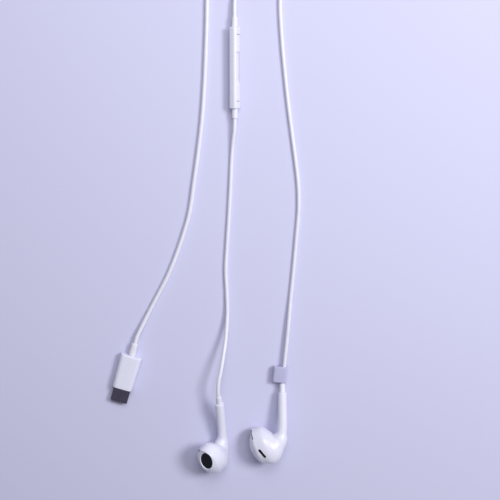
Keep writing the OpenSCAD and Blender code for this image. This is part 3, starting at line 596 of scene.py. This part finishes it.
class BudForm:
    """Sections of an earbud in its own frame: x to the front, z up the stem"""

    def __init__(self, s):
        self.s = s
        low = s.stem_low_d
        tilt = degrees(s.seam_tilt)
        self.rows = [
            [s.head_reach, 0, tilt, s.head_len / 2, s.head_w / 2],
            [s.head_reach * 0.65, 0.4 * MM, tilt - 2.5, s.head_len * 0.525, s.head_w * 0.519],
            [s.head_reach * 0.38, 0.7 * MM, tilt + 0.6, s.head_len * 0.426, s.head_w * 0.443],
            [s.head_reach * 0.18, 2.1 * MM, tilt + 14, s.head_len * 0.259, s.head_w * 0.31],
            [s.head_reach * 0.09, 4.4 * MM, 64, s.head_len * 0.203, s.head_w * 0.247],
            [s.head_reach * 0.03, 6.6 * MM, 80, low * 0.55, low * 0.55],
            [0, s.neck_h, 90, low / 2, low / 2],
            [0, s.stem_l, 90, s.stem_top_d / 2, s.stem_top_d / 2],
        ]
        t = s.seam_tilt
        self.side = Vector((0, 1, 0))
        self.seam_mid = Vector((s.head_reach, 0, 0))
        self.seam_dir = Vector((sin(t), 0, cos(t)))
        self.front_dir = Vector((cos(t), 0, -sin(t)))
        lean = s.seam_tilt - s.outlet_tilt
        ahead = Vector((cos(lean), 0, -sin(lean)))
        self.outlet_dir = Vector((sin(lean), 0, cos(lean)))
        self.outlet_out = ahead * cos(s.outlet_turn) + self.side * sin(s.outlet_turn)
        self.outlet_across = self.side * cos(s.outlet_turn) - ahead * sin(s.outlet_turn)
        self.outlet_mid = (
            self.seam_mid + self.seam_dir * s.outlet_rise + self.side * s.outlet_side
            + self.front_dir * s.cap_depth
        )

    def shell_point(self, row, a, inset=0.0):
        f, h, lean, half_l, half_w = curve_at(self.rows, row)
        lean, a = radians(lean), radians(a)
        along = Vector((sin(lean), 0, cos(lean)))
        mid = Vector((f, 0, h))
        return mid + along * (half_l - inset) * cos(a) + self.side * (half_w - inset) * sin(a)

    def cap_point(self, s, a, inset=0.0, edge=None):
        z = self.s
        k, g = sin(pi / 2 * s), 1 - cos(pi / 2 * s)
        out = mix(self.front_dir, self.outlet_out, g).normalized()
        mid = (
            self.seam_mid + (self.seam_dir * z.outlet_rise + self.side * z.outlet_side) * g
            + self.front_dir * z.cap_depth * k - out * inset * k
        )
        edge = z.outlet_lip if edge is None else edge
        long = mix(self.seam_dir, self.outlet_dir, g).normalized()
        wide = mix(self.side, self.outlet_across, g).normalized()
        half_l = mix(z.head_len / 2 - inset, z.outlet_len / 2 + edge, g)
        half_w = mix(z.head_w / 2 - inset, z.outlet_w / 2 + edge, g)
        a = radians(a)
        return mid + long * half_l * cos(a) + wide * half_w * sin(a)

    def outlet_ring(self, grow, rise, sides):
        """A ring parallel to the outlet's edge"""
        z = self.s
        mid = self.outlet_mid + self.outlet_out * rise
        along = self.outlet_dir * (z.outlet_len / 2 + grow)
        across = self.outlet_across * (z.outlet_w / 2 + grow)
        turns = [2 * pi * k / sides for k in range(sides)]
        return [mid + along * cos(a) + across * sin(a) for a in turns]

    def at_vent(self):
        return skin_frame(self.shell_point, row=0.42, a=-112, step=0.05) @ turned(-18, "Z")

    def at_slit(self):
        return skin_frame(self.cap_point, row=0.2, a=-44, step=-0.02)

    def cut_slot(self, piece, length, width, place):
        """Cuts a slot with round ends through the wall"""
        wall = self.s.wall
        combine(piece, slot_tool(stadium_ring(length, width), -2 * wall, wall, place))


def bud_matrix(s, at, lean, pitch, roll, mirrored):
    side = Matrix.Diagonal((1, -1 if mirrored else 1, 1, 1))
    return (
        Matrix.Translation(Vector(at) * MM) @ turned(-lean, "Z") @ turned(-pitch, "X")
        @ turned(180, "Y") @ turned(-90, "X") @ turned(roll, "Z") @ side
        @ Matrix.Translation((0, 0, -s.stem_l - s.relief_l))
    )


SHELL_SIDES = 96
SHELL_TURNS = [360 * k / SHELL_SIDES for k in range(SHELL_SIDES)]


def build_shell(name, form, place):
    s = form.s
    last = len(form.rows) - 1
    per_metre = 1 / (form.rows[0][0] - form.rows[1][0])

    def ring(row, inset=0.0):
        return [form.shell_point(row, t, inset) for t in SHELL_TURNS]

    # The seam's rounded edge, the skin, the stem's rounded end, and the inside back to the seam
    rings = [ring(s.groove * side * per_metre, s.groove * out) for out, side in quarter(4)]
    steps, inner_steps = 13, 3
    rings += [ring(i / steps) for i in range(1, last * steps)]
    mouth_r = 0.4 * MM
    rings += [ring(last - mouth_r * out / (s.stem_l - s.neck_h), mouth_r * side) for out, side in quarter(5)]
    rings += [ring(i / inner_steps, s.wall) for i in range(last * inner_steps, -1, -1)]
    piece = bare_object(name, *loops_mesh(rings, closed=True))
    # Cut a little larger than its size, so that the mesh shows in it and its black rim stands in for the
    # shadow line at the slot's edge, a painted shadow
    form.cut_slot(piece, s.vent_len + 0.2 * MM, s.vent_w + 0.25 * MM, form.at_vent())
    piece.data.transform(place)
    return piece


def build_cap(name, form, place):
    s = form.s
    rings = []
    for out, side in quarter(4):
        step, inset = s.groove * side / (s.cap_depth * pi / 2), s.groove * out
        skin = [form.cap_point(step, t) for t in SHELL_TURNS]
        rings.append([p - (p - form.seam_mid).normalized() * inset for p in skin])
    steps = 26
    rings += [[form.cap_point(i / steps, t) for t in SHELL_TURNS] for i in range(1, steps + 1)]
    # The lip round the outlet stands a little proud and is rounded over into it
    sink, proud, lip_steps = 0.05 * MM, 0.17 * MM, 8
    for i in range(1, lip_steps + 1):
        a = pi * i / lip_steps
        grow = s.outlet_lip * 0.5 * (1 + cos(a)) + sink
        rings.append(form.outlet_ring(grow, proud * sin(a), SHELL_SIDES))
    inner = 8
    rings += [[form.cap_point(i / inner, t, s.wall, sink) for t in SHELL_TURNS] for i in range(inner, -1, -1)]
    piece = bare_object(name, *loops_mesh(rings, closed=True))
    # Cut a little larger than its size, as the vent is, so that the black mesh round its rim stands in for
    # the shade at the slit's edge, a painted shadow
    form.cut_slot(piece, s.slit_len + 0.1 * MM, s.slit_w + 0.15 * MM, form.at_slit())
    piece.data.transform(place)
    return piece


def relief_profile(d, l, cord_d, root):
    """A soft sleeve on its root that narrows a little towards its cord, with a rounded end"""
    start, steps = 0.12 * MM, 16
    top = d / 2 - 0.1 * MM
    end_r = min(0.35 * MM, (d - cord_d) / 2)
    profile = [*root, (d / 2 - 0.08 * MM, 0.0), (d / 2, start)]
    profile += [(mix(d / 2, top, i / steps), mix(start, l - end_r, i / steps)) for i in range(1, steps + 1)]
    return profile + [(top - end_r * side, l - end_r * out) for out, side in quarter(5)[1:]]


def walled_root(waist_d, flange_d, end, thick):
    """The root of a sleeve that passes through an end wall and is held by its flange"""
    waist, flange = waist_d / 2, flange_d / 2
    return [(flange, -end - thick), (flange, -end), (waist, -end), (waist, 0.0)]


class EARPHONES_OT_earbuds(bpy.types.Operator):
    """Builds the two earbuds: shells, caps, reliefs and the finish of what is inside"""

    bl_idname = "earphones.earbuds"
    bl_label = "Earbuds"

    def execute(self, context):
        s = context.scene.earphones_bud
        form = BudForm(s)
        places = {
            "right": bud_matrix(s, RIGHT_BUD_AT, *RIGHT_BUD_TURNS, False),
            "left": bud_matrix(s, LEFT_BUD_AT, *LEFT_BUD_TURNS, True),
        }
        root_r = (s.stem_top_d - 2 * s.wall - 0.1 * MM) / 2
        root = [(root_r - 0.1 * MM, -s.root_l), (root_r, -s.root_l + 0.1 * MM), (root_r, 0.0)]
        for side, place in places.items():
            shell = build_shell(side + "_shell", form, place)
            finish_piece(shell, "shell_white", side + "_rear_shell")
            cap = build_cap(side + "_cap", form, place)
            finish_piece(cap, "shell_white", side + "_front_cap")
            relief = lathe(
                side + "_relief", relief_profile(s.relief_d, s.relief_l, EARBUD_CORD_D, root),
                place @ Matrix.Translation((0, 0, s.stem_l)))
            finish_piece(relief, "soft_white", side + "_strain_relief")
            dress("mesh_black", side + "_outlet_mesh", side + "_slit_mesh", side + "_vent_mesh")
            dress("black_plastic", side + "_baffle")
            dress("steel", side + "_driver_frame", side + "_pole_plate", side + "_cord_anchor")
            dress("magnet", side + "_magnet")
            dress("copper", side + "_voice_coil", side + "_driver_wires")
            dress("film", side + "_diaphragm")
        return {"FINISHED"}


# ---- Remote ----


class EARPHONES_OT_remote(bpy.types.Operator):
    """Builds the remote: its two cases, its key plate, its sleeves and the finish of what is inside"""

    bl_idname = "earphones.remote"
    bl_label = "Remote"

    def execute(self, context):
        s = context.scene.earphones_remote
        # Rolled onto one of its long edges
        over, up = s.width / 2 - s.edge_r, s.thick / 2 - s.edge_r
        mid_z = over * sin(s.roll) + up * cos(s.roll) + s.edge_r
        place = (Matrix.Translation((REMOTE_AT[0] * MM, REMOTE_AT[1] * MM, mid_z))
                 @ Matrix.Rotation(s.roll, 4, "Y"))
        half, far = s.length / 2, 2 * s.width
        key_skin = s.thick / 2 - s.wall - 0.3 * MM
        seam = s.seam - s.thick / 2
        gap, play = 0.025 * MM, 0.2 * MM

        def half_case(name, low, high):
            """The case between two heights, hollow, with a hole for the sleeve at each end"""
            piece = rounded_box(name, s.width, s.thick, s.edge_r, -half, half, s.end_r, s.end_r, middle=12)
            cavity(piece, s.width - 2 * s.wall, s.thick - 2 * s.wall, 0.12 * MM, -half + s.end, half - s.end)
            drill(piece, HOLE_R, -half - MM, half + MM)
            combine(piece, plain_box("keep", (-far, -s.length, low), (far, s.length, high)), "INTERSECT")
            return piece

        back = half_case("remote_back", -far, seam - gap)
        port_r, port_y = 0.4 * MM, 14 * MM
        port = [(port_r, -s.thick), (port_r, -s.thick / 2 + s.wall + MM)]
        combine(back, lathe("port", port, Matrix.Translation((0, port_y, 0)), 24))
        front = half_case("remote_front", seam + gap, far)
        window = rounded_ring(s.key_w + 2 * play, s.key_l + 2 * play, 0.75 * MM)
        combine(front, slot_tool(window, key_skin, s.thick))
        for piece in (back, front):
            soften(piece, 0.06 * MM, 50)
            piece.data.transform(place)
        finish_piece(back, "shell_white", "remote_back_case")
        finish_piece(front, "shell_white", "remote_front_case")

        keys = self.key_plate(s, key_skin)
        keys.data.transform(place)
        finish_piece(keys, "shell_white", "remote_key_plate", body="key_plate")

        root = walled_root(NECK_D, NECK_D + 0.6 * MM, s.end, thick=0.7 * MM)
        profile = relief_profile(s.relief_d, s.relief_l, EARBUD_CORD_D, root)
        for which, end in (("upper", 1), ("lower", -1)):
            sleeve = lathe(
                "remote_" + which + "_sleeve", profile,
                place @ Matrix.Translation((0, end * half, 0)) @ turned(-90 * end, "X"))
            finish_piece(sleeve, "soft_white", "remote_" + which + "_relief")
        dress("steel", "remote_key_spring", "remote_dome_switches")
        dress("board", "remote_board")
        dress("gold", "remote_microphone")
        return {"FINISHED"}

    def key_plate(self, s, skin):
        """The plate with its dip between the two outer keys, and the flange that holds it in"""
        low = skin - 0.5 * MM
        top = s.thick / 2
        dip_up, dip_down, ramp_up, ramp_down = 6.7 * MM, 5.5 * MM, 0.9 * MM, 2.7 * MM
        half = s.key_l / 2
        edge, corner, flange = 0.3 * MM, 0.7 * MM, 0.22 * MM

        def height(y):
            into = smooth_step((y + dip_down + ramp_down) / ramp_down)
            out = 1 - smooth_step((y - dip_up) / ramp_up)
            return top - s.key_dip * into * out

        body, corner_turns = 150, quarter(6)
        stations = [(-half + corner * out, corner * side) for out, side in corner_turns[:0:-1]]
        stations += [(mix(-half + corner, half - corner, i / body), 0.0) for i in range(body + 1)]
        stations += [(half - corner * out, corner * side) for out, side in corner_turns[1:]]
        edge_turns = quarter(5)[1:]
        rings = []
        for y, inset in stations:
            w = s.key_w / 2 - inset
            reach = half - abs(y)
            high = height(y) - edge + sqrt(max(edge**2 - max(edge - reach, 0) ** 2, 0))
            left = [(-w, y, low), (-w, y, high - edge)]
            left += [(-w + edge * side, y, high - edge * out) for out, side in edge_turns]
            rings.append(left + [(-x, y, z) for x, _, z in reversed(left)])
        piece = bare_object("remote_keys", *loops_mesh(rings))
        wide, long = s.key_w / 2 + flange, half + flange
        combine(piece, plain_box("flange", (-wide, -long, low - 0.01 * MM), (wide, long, skin)), "UNION")
        return piece


# ---- Slider ----


class EARPHONES_OT_slider(bpy.types.Operator):
    """Builds the slider that runs on the left cord"""

    bl_idname = "earphones.slider"
    bl_label = "Slider"

    def execute(self, context):
        s = context.scene.earphones_fittings
        start = Vector(LEFT_BUD_AT) * MM
        way = (Vector(SLIDER_LINE_END) * MM - start).normalized()
        across = way.cross(Vector((0, 0, 1))).normalized()
        # At rest it stands just past the earbud's sleeve
        rest, end_r, mouth = 0.8 * MM, 0.45 * MM, 0.7 * MM
        bore_play, channel_play = 0.6 * MM, 0.2 * MM
        place = frame_on(start + way * rest, across, across.cross(way)) @ Matrix.Translation(
            (-s.slider_bore_x, 0, 0))
        piece = rounded_box(
            "slider", s.slider_w, s.slider_t, s.slider_r, 0, s.slider_l, end_r, end_r, middle=6)
        past = s.slider_l + MM
        drill(piece, (s.bud_cord_d + bore_play) / 2, -MM, past, s.slider_bore_x, 40)
        channel_x = -s.slider_w / 2 + 1.75 * MM
        drill(piece, (s.bud_cord_d + channel_play) / 2, -MM, past, channel_x, 40)
        combine(piece, plain_box("mouth", (channel_x - s.slider_w, -MM, -mouth), (channel_x, past, mouth)))
        soften(piece, 0.08 * MM, 50)
        piece.data.transform(place)
        # The grey-blue finish paints shade and a dark reflection onto the slider, whose slot is the white
        # shell plastic
        finish_piece(piece, "slider_painted_shade", "cord_slider", slot="shell_white", body="slider")
        return {"FINISHED"}


# ---- Splitter ----


class EARPHONES_OT_splitter(bpy.types.Operator):
    """Builds the splitter between the main cord and the two earbud cords"""

    bl_idname = "earphones.splitter"
    bl_label = "Splitter"

    def execute(self, context):
        s = context.scene.earphones_fittings
        place = Matrix.Translation(Vector(SPLITTER_AT) * MM) @ turned(-90, "Z")
        case = rounded_box(
            "splitter_body", s.splitter_w, s.splitter_t, s.splitter_r, 0, s.splitter_l,
            r0=0.7 * MM, r1=0.4 * MM, middle=6)
        wall, end = 0.6 * MM, 1 * MM
        cavity(case, s.splitter_w - 2 * wall, s.splitter_t - 2 * wall, s.splitter_r - wall,
               end, s.splitter_l - end)
        drill(case, HOLE_R, -MM, end + MM)
        soften(case, 0.05 * MM, 55)
        case.data.transform(place)
        finish_piece(case, "shell_white", "splitter_case")
        root = walled_root(NECK_D, NECK_D + 0.4 * MM, end, thick=0.7 * MM)
        sleeve_d, sleeve_l = 3 * MM, 4 * MM
        sleeve = lathe(
            "splitter_sleeve", relief_profile(sleeve_d, sleeve_l, s.main_d, root),
            Matrix.Translation(Vector(SPLITTER_AT) * MM) @ turned(-90, "Y"))
        finish_piece(sleeve, "soft_white", "splitter_relief")
        dress("black_plastic", "splitter_core")
        return {"FINISHED"}


# ---- Plug ----


class EARPHONES_OT_plug(bpy.types.Operator):
    """Builds the plug: its case, its metal shell, its sleeve and the finish of what is inside"""

    bl_idname = "earphones.plug"
    bl_label = "Plug"

    def execute(self, context):
        s = context.scene.earphones_fittings
        place = (Matrix.Translation((PLUG_AT[0] * MM, PLUG_AT[1] * MM, s.case_t / 2))
                 @ Matrix.Rotation(-s.plug_lean, 4, "Z"))
        rear = -s.plug_relief_l
        front = rear - s.case_l
        end, wall, gap, held = 1.4 * MM, 0.8 * MM, 0.05 * MM, 2 * MM
        neck_d = s.main_d + 0.4 * MM
        case = rounded_box(
            "plug_body", s.case_rear_w, s.case_t, s.case_r, front, rear, r0=0.3 * MM, r1=0.5 * MM,
            taper=s.case_rear_w - s.case_front_w, middle=10)
        cavity(case, s.case_front_w - 2 * wall, s.case_t - 2 * wall, 0.8 * MM, front + end, rear - end)
        tool = [[(x, y, z) for x, z in stadium_ring(s.shell_w + 2 * gap, s.shell_t + 2 * gap)]
                for y in (front - MM, front + end + held + gap)]
        combine(case, bare_object("slot", *loops_mesh(tool)))
        drill(case, neck_d / 2 + gap, rear - end - MM, rear + MM)
        soften(case, 0.05 * MM, 55)
        case.data.transform(place)
        finish_piece(case, "shell_white", "plug_case")

        # The metal shell: its skin out to a rounded tip, then its inside back again
        inner_y = front + end + held
        tip, lip, body = front - s.shell_l, 0.14 * MM, 6
        stations = [(mix(inner_y, tip + lip, i / body), 0.0) for i in range(body + 1)]
        stations += [(tip + lip * out, lip * side) for out, side in quarter(4)[1:]]
        stations += [(tip, s.shell_sheet - 0.025 * MM), (inner_y, s.shell_sheet)]
        rings = [[(x, y, z) for x, z in stadium_ring(s.shell_w - 2 * inset, s.shell_t - 2 * inset)]
                 for y, inset in stations]
        metal = bare_object("plug_metal", *loops_mesh(rings, closed=True))
        metal.data.transform(place)
        finish_piece(metal, "plug_steel", "plug_metal_shell")

        root = walled_root(neck_d, neck_d + 0.6 * MM, end, thick=MM)
        sleeve = lathe(
            "plug_sleeve", relief_profile(s.plug_relief_d, s.plug_relief_l, s.main_d, root),
            place @ Matrix.Translation((0, rear, 0)) @ turned(-90, "X"))
        finish_piece(sleeve, "soft_white", "plug_relief")
        dress("black_plastic", "plug_insulator")
        dress("gold", "plug_contacts")
        dress("board", "plug_board")
        dress("steel", "plug_shield_can")
        return {"FINISHED"}


# ---- Cords ----


def coil_points(s):
    """The coil spirals in on the surface and out on top of itself"""
    half = s.coil_turns / 2
    inner = s.coil_r - s.coil_pitch * half
    climb, per_turn = 0.25, 24
    points = []
    for i in range(s.coil_turns * per_turn + 1):
        t = i / per_turn - half
        r = inner + s.coil_pitch * abs(t)
        a = -2 * pi * (t + half)
        lift = 0.0 if t < -climb else 1.0 if t > climb else (1 + sin(pi / 2 * t / climb)) / 2
        points.append(Vector((
            COIL_AT[0] * MM + r * cos(a), COIL_AT[1] * MM + r * sin(a),
            s.main_d / 2 + s.coil_pitch * lift)))
    return points


def build_cord(name, points, d):
    """A round cord along points, its start drawn a little into its sleeve"""
    pull = 0.6 * MM
    points[0] = points[0] - (points[1] - points[0]).normalized() * pull
    data = bpy.data.curves.new(name, "CURVE")
    data.dimensions = "3D"
    data.bevel_depth = d / 2
    data.bevel_resolution = 6
    data.resolution_u = 6
    data.use_fill_caps = True
    line = data.splines.new("BEZIER")
    line.bezier_points.add(len(points) - 1)
    last = len(points) - 1
    for i, p in enumerate(points):
        before, after = points[max(i - 1, 0)], points[min(i + 1, last)]
        near, far = (p - before).length, (after - p).length
        if 0 < i < last:
            way = ((p - before) / near * far + (after - p) / far * near).normalized()
        else:
            way = (after - before).normalized()
        knot = line.bezier_points[i]
        knot.handle_left_type = knot.handle_right_type = "FREE"
        knot.co = p
        knot.handle_left = p - way * near / 3
        knot.handle_right = p + way * far / 3
    return linked(name, data)


def in_metres(route):
    return [Vector(p) * MM for p in route]


class EARPHONES_OT_cords(bpy.types.Operator):
    """Lays the four cords"""

    bl_idname = "earphones.cords"
    bl_label = "Cords"

    def execute(self, context):
        s = context.scene.earphones_fittings

        left = build_cord("left_lead", in_metres(LEFT_ROUTE), s.bud_cord_d)
        finish_piece(left, "cord_white", "left_cord")

        lower = build_cord("right_lead_lower", in_metres(RIGHT_LOWER_ROUTE), s.bud_cord_d)
        finish_piece(lower, "cord_white", "right_cord_lower")

        upper = build_cord("right_lead_upper", in_metres(RIGHT_UPPER_ROUTE), s.bud_cord_d)
        finish_piece(upper, "cord_white", "right_cord_upper")

        points = in_metres(LEAD_ROUTE) + coil_points(s) + in_metres(RUN_ROUTE)
        main_cord = build_cord("main_lead", points, s.main_d)
        finish_piece(main_cord, "cord_white", "main_cord_lead", "main_cord_coil", "main_cord_run")
        return {"FINISHED"}


# ---- Stage ----


def floor_material(tint):
    material = bpy.data.materials.new("floor")
    material.use_nodes = True
    tree = material.node_tree
    shader = next(n for n in tree.nodes if n.type == "BSDF_PRINCIPLED")
    shader.inputs["Roughness"].default_value = 0.6
    shader.inputs["Specular IOR Level"].default_value = 0.3
    wander = add_noise(tree, tree.nodes.new("ShaderNodeTexCoord").outputs["Object"], 3.0, 2.0)
    base = add_ramp(tree, wander, ((0.0, scaled(tint, 0.985)), (1.0, scaled(tint, 1.01))))
    tree.links.new(base, shader.inputs["Base Color"])
    return material


def looking(place, target, up):
    back = (place - target).normalized()
    right = up.cross(back).normalized()
    return Matrix.Translation(place) @ Matrix((right, back.cross(right), back)).transposed().to_4x4()


def soft_lamp(name, place, target, size, power, tint):
    data = bpy.data.lights.new(name, "AREA")
    data.shape = "DISK"
    data.size = size
    data.energy = power
    data.color = tint
    linked(name, data).matrix_world = looking(Vector(place), Vector(target), Vector((0, 1, 0.1)))


class EARPHONES_OT_stage(bpy.types.Operator):
    """Sets the floor, the soft light and the camera"""

    bl_idname = "earphones.stage"
    bl_label = "Stage"

    def execute(self, context):
        scene = context.scene
        look = scene.earphones_finish
        data = bpy.data.cameras.new("camera")
        data.lens = 73.78
        data.sensor_width = 36.0
        data.clip_start = 0.01
        camera = linked("camera", data)
        camera.matrix_world = looking(
            Vector((4, 167.75, 480)) * MM, Vector((4, 87, 0)) * MM, Vector((0, 1, 0)))
        scene.camera = camera

        reach, under = 1.0, -0.02 * MM
        corners = [(x * reach, y * reach, under) for x, y in ((-1, -1), (1, -1), (1, 1), (-1, 1))]
        floor = bare_object("floor", corners, [(0, 1, 2, 3)])
        floor.data.materials.append(floor_material(look.floor))

        soft_lamp("key", (0.54, 0.34, 0.69), (0.0, 0.09, 0.0), size=0.3, power=5.1, tint=(0.97, 0.97, 1.0))
        soft_lamp("top", (0.06, 0.42, 0.52), (0.02, 0.22, 0.0), size=0.35, power=1.6, tint=(0.95, 0.95, 1.0))

        world = bpy.data.worlds.new("studio")
        scene.world = world
        world.use_nodes = True
        tree = world.node_tree
        tree.nodes.clear()
        out = tree.nodes.new("ShaderNodeOutputWorld")
        lit = add(tree, "ShaderNodeBackground", Color=(0.9, 0.9, 1.0, 1), Strength=0.25)
        seen = add(tree, "ShaderNodeBackground", Color=(0.66, 0.66, 0.86, 1), Strength=1.0)
        path = tree.nodes.new("ShaderNodeLightPath")
        both = tree.nodes.new("ShaderNodeMixShader")
        rays = path.outputs["Is Camera Ray"]
        for kind in ("Is Glossy Ray", "Is Transmission Ray"):
            rays = larger(tree, rays, path.outputs[kind])
        tree.links.new(rays, both.inputs["Fac"])
        tree.links.new(lit.outputs["Background"], both.inputs[1])
        tree.links.new(seen.outputs["Background"], both.inputs[2])
        tree.links.new(both.outputs["Shader"], out.inputs["Surface"])
        scene.view_settings.view_transform = "Standard"
        return {"FINISHED"}


# ---- Panel and registration ----


class EARPHONES_PT_panel(bpy.types.Panel):
    """Buttons for each group of pieces, and their sizes"""

    bl_idname = "EARPHONES_PT_panel"
    bl_label = "Wired Earphones"
    bl_space_type = "VIEW_3D"
    bl_region_type = "UI"
    bl_category = "Earphones"

    def draw(self, context):
        layout = self.layout
        for step in STEPS:
            layout.operator(step.bl_idname)
        for name, group, title in GROUPS:
            box = layout.box()
            box.label(text=title)
            for key in group.__annotations__:
                box.prop(getattr(context.scene, name), key)


STEPS = (
    EARPHONES_OT_stage,
    EARPHONES_OT_earbuds,
    EARPHONES_OT_remote,
    EARPHONES_OT_slider,
    EARPHONES_OT_splitter,
    EARPHONES_OT_plug,
    EARPHONES_OT_cords,
)
GROUPS = (
    ("earphones_bud", EARPHONES_PG_bud, "Earbuds"),
    ("earphones_remote", EARPHONES_PG_remote, "Remote"),
    ("earphones_fittings", EARPHONES_PG_fittings, "Fittings and cords"),
    ("earphones_finish", EARPHONES_PG_finish, "Finish"),
)


def register():
    for name, group, _ in GROUPS:
        bpy.utils.register_class(group)
        setattr(bpy.types.Scene, name, bpy.props.PointerProperty(type=group))
    for step in STEPS:
        bpy.utils.register_class(step)
    bpy.utils.register_class(EARPHONES_PT_panel)


def unregister():
    bpy.utils.unregister_class(EARPHONES_PT_panel)
    for step in reversed(STEPS):
        bpy.utils.unregister_class(step)
    for name, group, _ in reversed(GROUPS):
        delattr(bpy.types.Scene, name)
        bpy.utils.unregister_class(group)


def main():
    register()
    FINISH.update(finish_set())
    for step in STEPS:
        group, name = step.bl_idname.split(".")
        if getattr(getattr(bpy.ops, group), name)() != {"FINISHED"}:
            raise RuntimeError(step.bl_idname + " didn't finish")


if __name__ == "__main__":
    main()
